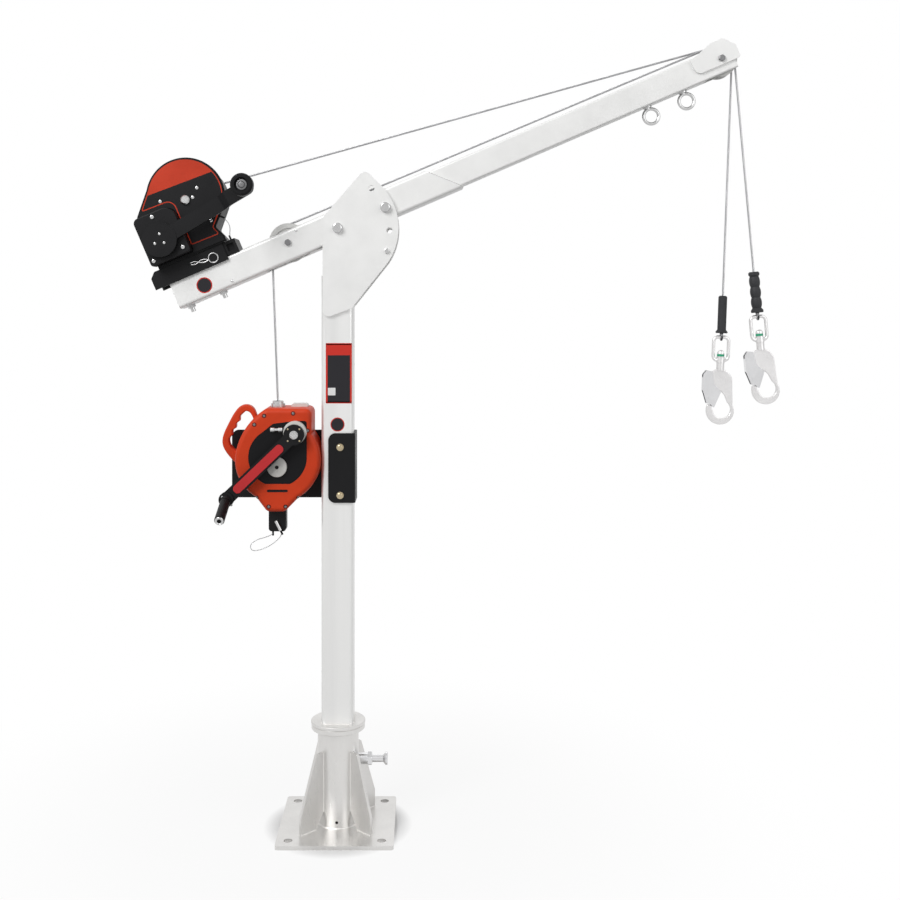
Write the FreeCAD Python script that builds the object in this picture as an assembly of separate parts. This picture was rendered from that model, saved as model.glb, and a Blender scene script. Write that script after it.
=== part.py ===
import FreeCAD, Part
import math
import os

# Rescue davit: a bolt-down base sleeve, a slewing square mast, a raised boom with rope sheaves,
# a hand winch, a self-retracting lifeline and two swivel snap hooks.
# Millimetres. Origin at the centre of the base plate's underside, +X under the boom, +Z up,
# and the crank side faces -Y. Boom pieces are drawn along X and then raised by BOOM_ANGLE.

# Fits
RUN_GAP = 0.3
BOLT_GAP = 0.25
SPIGOT_GAP = 0.5
BEARING_GAP = 0.5
NUT_FLATS = 1.5
NUT_HEIGHT = 0.65
NUT_EASE = 0.07

# Base
PLATE_WIDTH = 290.0
PLATE_THICK = 10.0
PLATE_CORNER = 8.0
ANCHOR_SPACING = 230.0
ANCHOR_HOLE = 22.0
SLEEVE_OUTER = 104.0
SLEEVE_WALL = 6.0
SLEEVE_TOP = 248.0
FLANGE_OUTER = 136.0
FLANGE_THICK = 12.0
DRAIN_HOLE = 7.0
DRAIN_HEIGHT = 16.0
GUSSET_THICK = 8.0
GUSSET_TOP = 197.0
GUSSET_LEDGE = 23.0
GUSSET_REACH = 124.0
GUSSET_TOE = 44.0
GUSSET_OPENING_HEIGHT = 40.0
GUSSET_OPENING_REACH = 24.0
GUSSET_ROUND = 5.0
RIM_EASE = 1.2
PLUNGER_HEIGHT = 168.0
PLUNGER_BOSS = 28.0
PLUNGER_BOSS_LENGTH = 24.0
PLUNGER_NUT = 30.0
PLUNGER_NUT_LENGTH = 11.0
PLUNGER_SHANK = 18.6
PLUNGER_SHANK_LENGTH = 28.0
PLUNGER_PIN = 10.0
PLUNGER_GRIP = 3.5
KNOB_OUTER = 32.0
KNOB_LENGTH = 11.0
KNOB_EASE = 1.0

# Mast
SPIGOT_WALL = 6.0
SPIGOT_BOTTOM = 40.0
GROOVE_DEPTH = 4.0
GROOVE_WIDTH = 14.0
COLLAR_OUTER = 138.0
COLLAR_THICK = 8.0
MAST_WIDTH = 80.0
MAST_WALL = 5.0
MAST_CORNER = 10.0
MAST_TOP = 1400.0
HEAD_THICK = 8.0
HEAD_LEFT = -36.0
HEAD_RIM = 153.6
HEAD_BOLT = 14.0
HEAD_WASHER = 26.0
HEAD_WASHER_THICK = 2.5
SPARE_HOLE = 15.0
SPARE_PITCH = 26.0
HEAD_LAP = 110.0
HEAD_FOOT = MAST_TOP - HEAD_LAP
HEAD_FOOT_RISE = 28.0
HEAD_SHOULDER = MAST_TOP + 146.0
HEAD_PEAK_X = 70.0
HEAD_PEAK_Z = MAST_TOP + 268.0
HEAD_RIM_LOW = -35.0
HEAD_RIM_HIGH = 44.0
HEAD_ROUND = 16.0
HEAD_HEEL = 37.0
HEAD_HEEL_ROUND = 10.0
TIE_X = 125.6
TIE_Z = MAST_TOP + 62.3
TIE_BOLT = 8.0
TIE_SPACER = 18.0

# Boom
BOOM_PIVOT_Z = MAST_TOP + 128.6
BOOM_ANGLE = 23.25
SIDE_WASHER = 2.2
INNER_WALL = 4.0
INNER_CORNER = 5.0
OUTER_WALL = 5.0
OUTER_CORNER = 8.0
OUTER_REAR = -448.0
OUTER_FRONT_TOP = 256.0
OUTER_FRONT_BOTTOM = 331.0
INNER_REAR = -60.0
INNER_FRONT = 1090.0
HEAD_BOLT_DROP = -8.5
PIVOT_BOLT_A = -2.0
LOCK_BOLT_A = 129.0
AXLE = 10.0
AXLE_COLLAR = 22.0
ROPE = 5.0
ROPE_Y = 13.0
SHEAVE_WIDTH = 18.0
SHEAVE_MOUTH = 12.0
TIP_SHEAVE_A = INNER_FRONT - 32.5
TIP_ROPE_ABOVE = 9.0
TIP_PITCH = 38.5
TIP_OUTER = 43.0
TIP_SLOT_TOP = INNER_FRONT - 90.0
TIP_SLOT_BOTTOM = INNER_FRONT - 86.0
MID_SHEAVE_A = -132.0
MID_SHEAVE_B = 8.0
MID_PITCH = 43.0
MID_OUTER = 50.0
MID_SLOT_SPARE = 6.0
RISER_SPARE = 14.5667
SHEAVE_RIM = 3.0
SHEAVE_DISH = 2.5
CHEEK_THICK = 6.0
CHEEK_REAR = 75.0
CHEEK_NOSE = 46.0
CHEEK_FOOT = 15.0
CHEEK_CROWN = 46.0
CHEEK_CROWN_REAR = 12.0
CHEEK_CROWN_FRONT = 22.0
CHEEK_NOSE_RISE = 18.0
CHEEK_ROUND = 9.0
EYE_BOLT_PLACES = (INNER_FRONT - 245.0, INNER_FRONT - 147.0)
EYE_OUTER = 47.0
EYE_INNER = 29.6
EYE_DROP = 26.5
EYE_COLLAR = 22.0
EYE_STUD = 10.0
EYE_COLLAR_THICK = 4.0

# Winch, in boom lengths
SADDLE_REAR = -484.0
SADDLE_FRONT = -285.0
SADDLE_TOP = 72.0
SADDLE_LAP = 10.0
SADDLE_WALL = 5.0
SADDLE_GAP = 2.2
SADDLE_CHAMFER = 14.0
SADDLE_BOLT = 12.0
SADDLE_BOLT_TAIL = 18.0
SADDLE_BOLT_PLACES = (-425.0, -336.0)
DRUM_A = -325.0
DRUM_B = 206.0
DRUM_WRAP = 24.0
CASE_ROUND_A = -322.0
CASE_ROUND_B = 213.0
CASE_ROUND = 99.5
CASE_FLANGE = 6.0
CASE_INSET = 9.0
CASE_CORNER = 6.0
CASE_BACK = 81.0
CASE_FRONT = -50.0
FACE_THICK = 5.0
FACE_INSET = 4.0
GEARBOX_DEPTH = 35.0
GEARBOX_REAR = -463.0
GEARBOX_FRONT = -357.0
GEARBOX_BOTTOM = 80.0
GEARBOX_TOP = 206.0
GEARBOX_CORNER = 7.0
GEARBOX_SHOULDER = 30.0
GEARBOX_EASE = 3.0
CRANK_A = -416.0
CRANK_B = 133.5
CRANK_HUB = 86.0
CRANK_HUB_THICK = 9.0
CRANK_REACH = 251.0
CRANK_RISE = 7.4
CRANK_ARM_WIDTH = 38.0
CRANK_ARM_THICK = 8.0
CRANK_STEP = 18.0
CRANK_GAP = 6.0
CRANK_KNOB = 55.0
CRANK_KNOB_LENGTH = 72.0
CRANK_KNOB_FOOT = 38.0
CRANK_KNOB_DISH = 34.0
CRANK_KNOB_EASE = 5.0
CRANK_KNOB_BELLY = 0.65
STOP_BLOCK_LENGTH = 33.0
STOP_BLOCK_POCKET = 18.0
HITCH_A = -319.0
HITCH_B = 46.0
HITCH_RING = 24.0
HITCH_WIRE = 3.0
HITCH_TAIL = 46.0
HITCH_WAVE = 4.5
HITCH_RISE = 2.0
CASE_REAR = -455.0
CASE_TOE = -270.0
CASE_TOE_RISE = 14.0
CASE_NOTCH_A = -281.5
CASE_NOTCH_B = 114.5
CASE_RIM_FRONT = -35.4
CASE_RIM_BACK = 146.5
CASE_SHOULDER = 213.0
DRUM_BOLT = 23.0
DRUM_BOLT_HEIGHT = 8.0
DRUM_BOLT_EASE = 3.0
ROPE_PORT = 12.0
ROPE_PORT_DEPTH = 70.0
CRANK_BEND = 70.0
CRANK_SHAFT = 30.0
GRIP_PIN = 10.0
KNOB_RECESS = 8.0

# Lifeline
CASE_X = -MAST_WIDTH / 2 - 108.0
BRACKET_THICK = 6.0
BRACKET_LEFT = CASE_X - 130.0
BRACKET_BOTTOM = 828.0
BRACKET_TOP = 1003.0
BRACKET_LEAF = -22.0
BRACKET_BOLT = 8.0
BRACKET_WASHER = 18.0
BRACKET_WASHER_THICK = 1.6
BRACKET_ROUND = 18.0
BRACKET_BOLT_X = 8.0
BRACKET_BOLT_HEIGHTS = (847.0, 968.0)
CASE_Z = 937.0
CASE_RADIUS = 107.0
CASE_DEPTH = 106.0
CASE_SOFTEN = 12.0
CASE_FOOT_ROUND = 16.0
CASE_TAPER = 60.0
CASE_FLANK_START = 162.0
CASE_FLANK_X = CASE_X - 73.0
CASE_FLANK_Z = 1027.0
NECK_LEFT = CASE_X - 28.0
NECK_RIGHT = CASE_X + 85.0
NECK_TOP = 1067.0
NECK_ROUND = 16.0
COVER_LEFT = CASE_X + 29.0
COVER_RIGHT = CASE_X + 71.0
COVER_HEIGHT = 8.0
COVER_FRONT = -12.0
COVER_BACK = 22.0
LUG_LEFT = CASE_X - 26.0
LUG_RIGHT = CASE_X + 18.0
LUG_TOP = 808.0
LUG_BOTTOM = 753.0
LUG_THICK = 30.0
LUG_ROUND = 8.0
LUG_PIN = 8.0
LUG_PIN_RISE = 22.0
LUG_PIN_PAST = 4.0
LUG_TAB = 24.0
LUG_TAB_LEAN = 12.0
LUG_TAB_SHARE = 0.25
FACE_X = CASE_X + 1.0
FACE_Z = 945.0
FACE_RADIUS = 73.0
FACE_BOTTOM = 879.0
FACE_RECESS = 4.0
FACE_SUNK = 0.5
SHELF_X = CASE_X - 10.0
SHELF_Z = 1029.0
SHELF_RIGHT = CASE_X + 74.0
SHELF_TOP = 1036.0
SHELF_ROUND = 6.0
CAP_X = CASE_X
CAP_Z = 921.0
CAP_RADIUS = 24.5
CAP_HEIGHT = 7.0
CAP_EASE = 2.0
LATCH = 12.0
LATCH_SHANK = 8.0
LATCH_KNOB_LENGTH = 10.0
LATCH_LEFT = CASE_X - 16.0
LATCH_RIGHT = CASE_X + 14.0
LATCH_Z = 1015.0
NOZZLE_X = CASE_X - 4.0
NOZZLE_OUTER = 36.0
NOZZLE_TOP = 26.0
NOZZLE_STEP = 9.0
NOZZLE_HEIGHT = 16.0
NOZZLE_BORE = 8.0
RETRIEVAL_X = CASE_X + 44.0
RETRIEVAL_Z = 1003.6
RETRIEVAL_BOSS = 29.5
RETRIEVAL_BOSS_DEPTH = 13.0
RETRIEVAL_HUB = 25.5
RETRIEVAL_HUB_THICK = 12.0
RETRIEVAL_NUT = 10.0
RETRIEVAL_ARM_WIDTH = 33.0
RETRIEVAL_ARM_THICK = 9.0
RETRIEVAL_END_X = CASE_X - 122.6
RETRIEVAL_END_Z = 844.0
RETRIEVAL_END_BOSS = 37.0
RETRIEVAL_END_RAISE = 6.0
STRIP_START = 40.0
STRIP_STOP = 28.0
STRIP_MARGIN = 5.5
STRIP_THICK = 2.0
RETRIEVAL_GRIP = 25.0
RETRIEVAL_GRIP_LENGTH = 90.0
RETRIEVAL_GRIP_EASE = 3.0
RETRIEVAL_DROOP = 20.0
RETRIEVAL_NECK = 12.0
HANDLE_DEPTH = 26.0
HANDLE_SOFTEN = 5.0
HANDLE_HOLLOW_SOFTEN = 3.0

# Keeper lanyards; the lug's route is in places from its front lower edge
LANYARD = 2.0
LANYARD_LEAD = 10.0
CORD_TRIM = 0.45
LUG_ROUTE = ((-12, 8, 0), (-12, 8, -9), (-30, -1, -15), (-52, -4, -20), (-69, -6, -33), (-64, -8, -48),
             (-44, -8, -46), (-20, -9, -36), (2, -9, -20))
PIN_STOP_SHARE = 0.7
PIN_STOP_Y = -30.0
PIN_BULGE_OUT = 14.0
PIN_BULGE_DROP = 31.0
PIN_BULGE_Y = -44.0

# Handle outlines, in places from the casing's centre; the inner one has three finger hollows
HANDLE_OUTER = ((-50, 96), (-58, 111), (-66, 128), (-80, 136), (-96, 134), (-110, 121), (-131, 84),
                (-144, 49), (-144, 38), (-131, 11), (-112, -10), (-98, -22))
HANDLE_INNER = ((-56, 86), (-69, 109), (-75, 117), (-84, 120), (-93, 113.5), (-99.5, 106), (-100.6, 95.4),
                (-108.8, 88.7), (-109.9, 78.2), (-118, 71.5), (-119.1, 60.9), (-126, 52), (-127, 43),
                (-121, 29), (-94, 17))

# Hook lines, in lengths down each line from its tip sheave
WINCH_LEAN = -2.166
LIFELINE_LEAN = 5.17
WINCH_GRIP_START = 598.0
WINCH_GRIP_LENGTH = 96.0
LIFELINE_GRIP_START = 544.0
LIFELINE_GRIP_LENGTH = 104.0
GRIP_BODY = 22.0
GRIP_COLLAR = 27.6
GRIP_COLLAR_LENGTH = 8.0
GRIP_FLARE = 31.0
GRIP_FLARE_LENGTH = 6.0
GRIP_END = 12.0
GRIP_EASE = 3.0
GRIP_BULGE = 2.6
GRIP_BULGES = 3
LINK_WIDTH = 47.0
LINK_HEIGHT = 68.0
LINK_ROUND = 15.0
LINK_BAR = 8.6
LINK_SEAT = 6.0
SWIVEL_PIN = 12.0
SWIVEL_BOSS = 22.0
SWIVEL_HEAD = 18.0
BOSS_BELOW = 2.0
BOSS_ABOVE = 13.0
HOOK_NECK = 16.0
HOOK_NECK_ROUND = 20.0
HOOK_NECK_SUNK = 4.0
HOOK_THICK = 10.0
HOOK_SOFTEN = 2.0
HOOK_RIVET = 9.0
HOOK_RIVET_X = 17.4
HOOK_RIVET_Z = -22.5
RIVET_RISE = 1.0
GATE_SHEET = 2.5
GATE_GAP = 0.5
GATE_RIVET = 8.0
GATE_PIVOT_X = -24.0
GATE_PIVOT_Z = -26.0
GATE_TIE_X = -25.5
GATE_TIE_Z = -76.0
GATE_BACK_X = -44.0
GATE_BACK_TOP = -22.0
GATE_BACK_FOOT = -56.0

# Hook and gate outlines: x and z from the hook's crown, then the corner's radius
HOOK_OUTLINE = ((9, 0, 3), (22, -8, 8), (31, -22, 10), (34.3, -90, 0), (-32.5, -103, 0), (-31, -92, 3),
                (-22, -92, 3), (-15, -108, 0), (21.1, -85.4, 0), (12.4, -66, 6), (4, -57, 5), (-20, -50, 5),
                (-33, -38, 5), (-33, -12, 8), (-9, 0, 3))
HOOK_ARCS = {3: (-0.5, -142), 7: (4, -125.5)}
GATE_OUTLINE = ((GATE_BACK_X, -15, 6), (-36, -4, 4), (-21, -6, 5), (-15, -40, 8), (3, -58, 3),
                (-15, -101, 3), (-22, -91, 3), (-33, -89, 4), (-41, -64, 3), (GATE_BACK_X, GATE_BACK_FOOT, 2))
GATE_BAR_OUTLINE = ((-12, -82, 1), (-8, -84, 1), (-14, -99, 1), (-19, -95, 1))

# Sizes that follow from the ones above
OUTER_WIDTH = MAST_WIDTH - 2 * SIDE_WASHER
INNER_WIDTH = OUTER_WIDTH - 2 * OUTER_WALL - 2 * RUN_GAP
SLEEVE_BORE = SLEEVE_OUTER - 2 * SLEEVE_WALL
SPIGOT_OUTER = SLEEVE_BORE - 2 * SPIGOT_GAP
FLANGE_TOP = SLEEVE_TOP + FLANGE_THICK
COLLAR_BOTTOM = FLANGE_TOP + BEARING_GAP
MAST_BOTTOM = COLLAR_BOTTOM + COLLAR_THICK
MAST_HALF = MAST_WIDTH / 2
HEAD_OUT = MAST_HALF + HEAD_THICK
BOOM_HALF = OUTER_WIDTH / 2
STOP_BLOCK_HEIGHT = SADDLE_TOP - RUN_GAP - BOOM_HALF
INNER_HALF = INNER_WIDTH / 2
TIP_SHEAVE_B = INNER_HALF + TIP_ROPE_ABOVE - TIP_PITCH

Y_AXIS = FreeCAD.Vector(0, 1, 0)
Z_AXIS = FreeCAD.Vector(0, 0, 1)


def point(x, y, z):
    return FreeCAD.Vector(x, y, z)


def save(name, *solids):
    """Write one node; several solids on one node don't touch each other."""
    shape = solids[0] if len(solids) == 1 else Part.makeCompound(list(solids))
    for solid in shape.Solids:
        if not solid.isValid():
            raise ValueError(name + " has a broken solid")
    shape.exportStep("parts/" + name + ".step")


def block(x0, x1, y0, y1, z0, z1):
    return Part.makeBox(x1 - x0, y1 - y0, z1 - z0, point(x0, y0, z0))


def rod(start, end, diameter):
    return Part.makeCylinder(diameter / 2, (end - start).Length, start, end - start)


def rod_y(x, z, y0, y1, diameter):
    return rod(point(x, y0, z), point(x, y1, z), diameter)


def ring_y(x, z, y0, y1, outer, inner):
    return rod_y(x, z, y0, y1, outer).cut(rod_y(x, z, y0, y1, inner))


def hexagon(start, end, flats):
    """Hexagonal prism from start to end, as a bolt head or a nut."""
    length = (end - start).Length
    reach = flats / math.sqrt(3)
    corners = [point(reach * math.cos(math.radians(60 * i)), reach * math.sin(math.radians(60 * i)), 0)
               for i in range(7)]
    prism = Part.Face(Part.makePolygon(corners)).extrude(point(0, 0, length))
    ease = flats * NUT_EASE
    turning = turned([(0, 0), (0, reach), (length - ease, reach), (length, reach - 2 * ease), (length, 0)],
                     point(0, 0, 0), Z_AXIS)
    prism = prism.common(turning)
    prism.Placement = FreeCAD.Placement(start, FreeCAD.Rotation(Z_AXIS, end - start))
    return prism


def hex_end(start, ahead, bolt):
    """Head or nut of a bolt, from start along the unit vector ahead."""
    return hexagon(start, start + ahead * (bolt * NUT_HEIGHT), bolt * NUT_FLATS)


def rounded_outline(corners, arcs=None):
    """Closed wire in the XZ plane through (x, z, radius) corners.

    arcs gives the middle point of a side that is an arc, by the index of the corner it leaves.
    """
    arcs = arcs or {}
    places = [point(x, 0, z) for x, z, _ in corners]
    count = len(places)
    entries, exits, middles = [], [], []
    for i, here in enumerate(places):
        radius = corners[i][2]
        if radius == 0:
            entries.append(here)
            exits.append(here)
            middles.append(None)
            continue
        back = (places[i - 1] - here).normalize()
        ahead = (places[(i + 1) % count] - here).normalize()
        half = back.getAngle(ahead) / 2
        reach = radius / math.tan(half)
        bisector = (back + ahead).normalize()
        entries.append(here + back * reach)
        exits.append(here + ahead * reach)
        middles.append(here + bisector * (radius / math.sin(half) - radius))
    edges = []
    for i in range(count):
        if middles[i] is not None:
            edges.append(Part.Arc(entries[i], middles[i], exits[i]).toShape())
        start, end = exits[i], entries[(i + 1) % count]
        if i in arcs:
            edges.append(Part.Arc(start, point(arcs[i][0], 0, arcs[i][1]), end).toShape())
        elif (end - start).Length > 1e-6:
            edges.append(Part.LineSegment(start, end).toShape())
    return Part.Wire(edges)


def sheet(corners, y0, y1, arcs=None):
    """Solid with a rounded XZ outline, from y0 to y1."""
    face = Part.Face(rounded_outline(corners, arcs))
    face.translate(point(0, y0, 0))
    return face.extrude(point(0, y1 - y0, 0))


def edges_at(shape, y):
    """Edges of a shape that lie in the plane at y."""
    return [edge for edge in shape.Edges if all(abs(corner.Y - y) < 1e-6 for corner in edge.Vertexes)]


def square_bar(width, corner, x0, x1):
    """Solid bar along X with rounded corners, on the X axis."""
    half = width / 2
    corners = [(-half, -half, corner), (half, -half, corner), (half, half, corner), (-half, half, corner)]
    face = Part.Face(rounded_outline(corners))
    bar = face.extrude(point(0, x1 - x0, 0))
    bar.rotate(point(0, 0, 0), Z_AXIS, -90)
    bar.translate(point(x0, 0, 0))
    return bar


def square_tube(width, wall, corner, x0, x1):
    inner_corner = max(corner - wall, 1.0)
    return square_bar(width, corner, x0, x1).cut(square_bar(width - 2 * wall, inner_corner, x0, x1))


def turned(profile, start, axis, arcs=None):
    """Solid of revolution from (length along axis, radius) corners."""
    wire = rounded_outline([(along, radius, 0) for along, radius in profile], arcs)
    solid = Part.Face(wire).revolve(point(0, 0, 0), point(1, 0, 0), 360)
    solid.Placement = FreeCAD.Placement(start, FreeCAD.Rotation(point(1, 0, 0), axis))
    return solid


def on_boom(shape):
    """Raise a shape drawn along X to the boom's place on the mast."""
    moved = shape.copy()
    moved.rotate(point(0, 0, 0), Y_AXIS, -BOOM_ANGLE)
    moved.translate(point(0, 0, BOOM_PIVOT_Z))
    return moved


def boom_place(a, b, y=0.0):
    """Row-frame place of a point at length a and height b on the boom."""
    angle = math.radians(BOOM_ANGLE)
    return point(a * math.cos(angle) - b * math.sin(angle), y,
                 BOOM_PIVOT_Z + a * math.sin(angle) + b * math.cos(angle))


def pipe(edges, diameter):
    """Round rope or wire along line and arc edges, with its volume tested against its length."""
    path = Part.Wire(edges)
    first = edges[0]
    start = first.valueAt(first.FirstParameter)
    ahead = first.tangentAt(first.FirstParameter)
    section = Part.Wire(Part.makeCircle(diameter / 2, start, ahead))
    solid = path.makePipeShell([section], True, True)
    expected = math.pi * diameter ** 2 / 4 * path.Length
    if abs(solid.Volume / expected - 1) > 0.01:
        raise ValueError("a rope's volume differs from its section times its length")
    return solid


def line(start, end):
    return Part.LineSegment(start, end).toShape()


def arc_about(centre, radius, start_angle, end_angle):
    """Arc in the XZ plane; angles in degrees from +X towards +Z."""
    def at(angle):
        turn = math.radians(angle)
        return centre + point(radius * math.cos(turn), 0, radius * math.sin(turn))
    return Part.Arc(at(start_angle), at((start_angle + end_angle) / 2), at(end_angle)).toShape()


def upright(shape):
    """Stand a shape drawn along X on the Z axis."""
    shape.rotate(point(0, 0, 0), Y_AXIS, -90)
    return shape


def disc(z0, z1, outer, inner=0.0):
    """Round plate or ring on the Z axis."""
    whole = rod(point(0, 0, z0), point(0, 0, z1), outer)
    return whole.cut(rod(point(0, 0, z0), point(0, 0, z1), inner)) if inner else whole


def eased_disc(z0, z1, outer, inner=0.0):
    """Round plate or ring on the Z axis with its outer edges broken."""
    radius = outer / 2
    profile = [(z0, inner / 2), (z0, radius - RIM_EASE), (z0 + RIM_EASE, radius), (z1 - RIM_EASE, radius),
               (z1, radius - RIM_EASE), (z1, inner / 2)]
    return turned(profile, point(0, 0, 0), Z_AXIS)


def make_base():
    """Anchor plate, sleeve, top flange, gussets and the sprung index plunger."""
    half = PLATE_WIDTH / 2
    square = [(-half, -half, PLATE_CORNER), (half, -half, PLATE_CORNER),
              (half, half, PLATE_CORNER), (-half, half, PLATE_CORNER)]
    plate = sheet(square, 0, PLATE_THICK)
    plate.rotate(point(0, 0, 0), point(1, 0, 0), 90)
    pitch = ANCHOR_SPACING / 2
    for x in (-pitch, pitch):
        for y in (-pitch, pitch):
            plate = plate.cut(rod(point(x, y, 0), point(x, y, PLATE_THICK), ANCHOR_HOLE))
    save("base_plate", plate)

    pin_hole = PLUNGER_PIN + 2 * RUN_GAP
    sleeve = disc(PLATE_THICK, SLEEVE_TOP, SLEEVE_OUTER, SLEEVE_BORE)
    sleeve = sleeve.cut(rod(point(0, 0, PLUNGER_HEIGHT), point(SLEEVE_OUTER, 0, PLUNGER_HEIGHT), pin_hole))
    drain_z = PLATE_THICK + DRAIN_HEIGHT
    sleeve = sleeve.cut(rod(point(0, -SLEEVE_OUTER, drain_z), point(0, 0, drain_z), DRAIN_HOLE))
    save("base_sleeve", sleeve)
    save("sleeve_flange", eased_disc(SLEEVE_TOP, FLANGE_TOP, FLANGE_OUTER, SLEEVE_BORE))

    sleeve_solid = disc(0, SLEEVE_TOP, SLEEVE_OUTER)
    wall = SLEEVE_OUTER / 2
    inside = wall - SLEEVE_WALL / 2
    open_top = PLATE_THICK + GUSSET_OPENING_HEIGHT
    profile = [(inside, open_top, 0), (wall, open_top, 0), (wall + GUSSET_OPENING_REACH, PLATE_THICK, 0),
               (GUSSET_REACH, PLATE_THICK, 0), (GUSSET_REACH, PLATE_THICK + GUSSET_TOE, GUSSET_ROUND),
               (wall + GUSSET_LEDGE, GUSSET_TOP, GUSSET_ROUND), (inside, GUSSET_TOP, 0)]
    gussets = []
    for quarter in range(4):
        gusset = sheet(profile, -GUSSET_THICK / 2, GUSSET_THICK / 2).cut(sleeve_solid)
        gusset.rotate(point(0, 0, 0), Z_AXIS, 45 + 90 * quarter)
        gussets.append(gusset)
    save("base_gussets", *gussets)

    boss_end = wall + PLUNGER_BOSS_LENGTH
    nut_end = boss_end + PLUNGER_NUT_LENGTH
    shank_end = nut_end + PLUNGER_SHANK_LENGTH
    centre, boss, nut, shank = [point(x, 0, PLUNGER_HEIGHT) for x in (0, boss_end, nut_end, shank_end)]
    body = rod(centre, boss, PLUNGER_BOSS).fuse(hexagon(boss, nut, PLUNGER_NUT))
    body = body.fuse(rod(nut, shank, PLUNGER_SHANK)).cut(sleeve_solid).cut(rod(centre, shank, pin_hole))
    save("plunger_body", body)

    nose = SPIGOT_OUTER / 2 - PLUNGER_GRIP
    under = shank_end + RUN_GAP - nose
    knob_half = KNOB_OUTER / 2
    top = under + KNOB_LENGTH
    profile = [(0, 0), (0, PLUNGER_PIN / 2 - KNOB_EASE), (KNOB_EASE, PLUNGER_PIN / 2), (under, PLUNGER_PIN / 2),
               (under, PLUNGER_SHANK / 2), (under + KNOB_LENGTH / 2, knob_half), (top - KNOB_EASE, knob_half),
               (top, knob_half - KNOB_EASE), (top, 0)]
    save("plunger_knob", turned(profile, point(nose, 0, PLUNGER_HEIGHT), point(1, 0, 0)))


def head_outline():
    """Outline of a head plate, with its round rim about the boom's pivot bolt."""
    pivot = boom_place(PIVOT_BOLT_A, HEAD_BOLT_DROP)

    def rim(angle):
        turn = math.radians(angle)
        return pivot.x + HEAD_RIM * math.cos(turn), pivot.z + HEAD_RIM * math.sin(turn)
    low, high = rim(HEAD_RIM_LOW), rim(HEAD_RIM_HIGH)
    corners = [(HEAD_LEFT, HEAD_FOOT, HEAD_ROUND), (HEAD_HEEL, HEAD_FOOT + HEAD_FOOT_RISE, HEAD_HEEL_ROUND),
               (*low, 0), (*high, 0), (HEAD_PEAK_X, HEAD_PEAK_Z, HEAD_ROUND),
               (HEAD_LEFT, HEAD_SHOULDER, HEAD_ROUND)]
    return corners, {2: rim((HEAD_RIM_LOW + HEAD_RIM_HIGH) / 2)}


def head_bolt(place):
    """Through bolt with a hexagon head in front and a nut behind, over its washers."""
    seat = HEAD_OUT + HEAD_WASHER_THICK
    bolt = rod_y(place.x, place.z, -seat, seat, HEAD_BOLT)
    for side in (-1, 1):
        bolt = bolt.fuse(hex_end(point(place.x, side * seat, place.z), Y_AXIS * side, HEAD_BOLT))
    return bolt


def make_mast():
    """Spigot, collar, square tube, head plates and the bolts that hold the boom."""
    groove_low = PLUNGER_HEIGHT - GROOVE_WIDTH / 2
    groove = disc(groove_low, groove_low + GROOVE_WIDTH, SLEEVE_OUTER, SPIGOT_OUTER - 2 * GROOVE_DEPTH)
    spigot = disc(SPIGOT_BOTTOM, COLLAR_BOTTOM, SPIGOT_OUTER, SPIGOT_OUTER - 2 * SPIGOT_WALL)
    save("mast_spigot", spigot.cut(groove))
    save("mast_collar", eased_disc(COLLAR_BOTTOM, MAST_BOTTOM, COLLAR_OUTER))

    tube = upright(square_tube(MAST_WIDTH, MAST_WALL, MAST_CORNER, MAST_BOTTOM, MAST_TOP))
    for height in BRACKET_BOLT_HEIGHTS:
        tube = tube.cut(rod_y(BRACKET_BOLT_X, height, -MAST_WIDTH, MAST_WIDTH, BRACKET_BOLT + 2 * BOLT_GAP))
    save("mast_tube", tube)

    bolts = [boom_place(PIVOT_BOLT_A, HEAD_BOLT_DROP), boom_place(LOCK_BOLT_A, HEAD_BOLT_DROP)]
    pivot, lock = bolts
    lock_angle = math.degrees(math.atan2(lock.z - pivot.z, lock.x - pivot.x))
    pitch_radius = (lock - pivot).Length
    plate = sheet(head_outline()[0], -HEAD_THICK, 0, head_outline()[1])
    for place in bolts:
        plate = plate.cut(rod_y(place.x, place.z, -HEAD_OUT, HEAD_OUT, HEAD_BOLT + 2 * BOLT_GAP))
    for step in (-1, 1):
        turn = math.radians(lock_angle + step * SPARE_PITCH)
        spare = pivot + point(math.cos(turn), 0, math.sin(turn)) * pitch_radius
        plate = plate.cut(rod_y(spare.x, spare.z, -HEAD_OUT, HEAD_OUT, SPARE_HOLE))
    plate = plate.cut(rod_y(TIE_X, TIE_Z, -HEAD_OUT, HEAD_OUT, TIE_BOLT + 2 * BOLT_GAP))
    front = plate.copy()
    front.translate(point(0, -MAST_HALF, 0))
    back = plate.copy()
    back.translate(point(0, HEAD_OUT, 0))
    save("mast_head_plates", front, back)

    tie = rod_y(TIE_X, TIE_Z, -MAST_HALF, MAST_HALF, TIE_SPACER)
    tie = tie.fuse(rod_y(TIE_X, TIE_Z, -HEAD_OUT, HEAD_OUT, TIE_BOLT))
    for side in (-1, 1):
        tie = tie.fuse(hex_end(point(TIE_X, side * HEAD_OUT, TIE_Z), Y_AXIS * side, TIE_BOLT))
    save("head_bolts", *[head_bolt(place) for place in bolts], tie)

    washers = []
    for place in bolts:
        for side in (-1, 1):
            for start, thick in ((BOOM_HALF, SIDE_WASHER), (HEAD_OUT, HEAD_WASHER_THICK)):
                low, high = sorted((side * start, side * (start + thick)))
                washers.append(ring_y(place.x, place.z, low, high, HEAD_WASHER, HEAD_BOLT + 2 * BOLT_GAP))
    save("head_washers", *washers)


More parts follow.
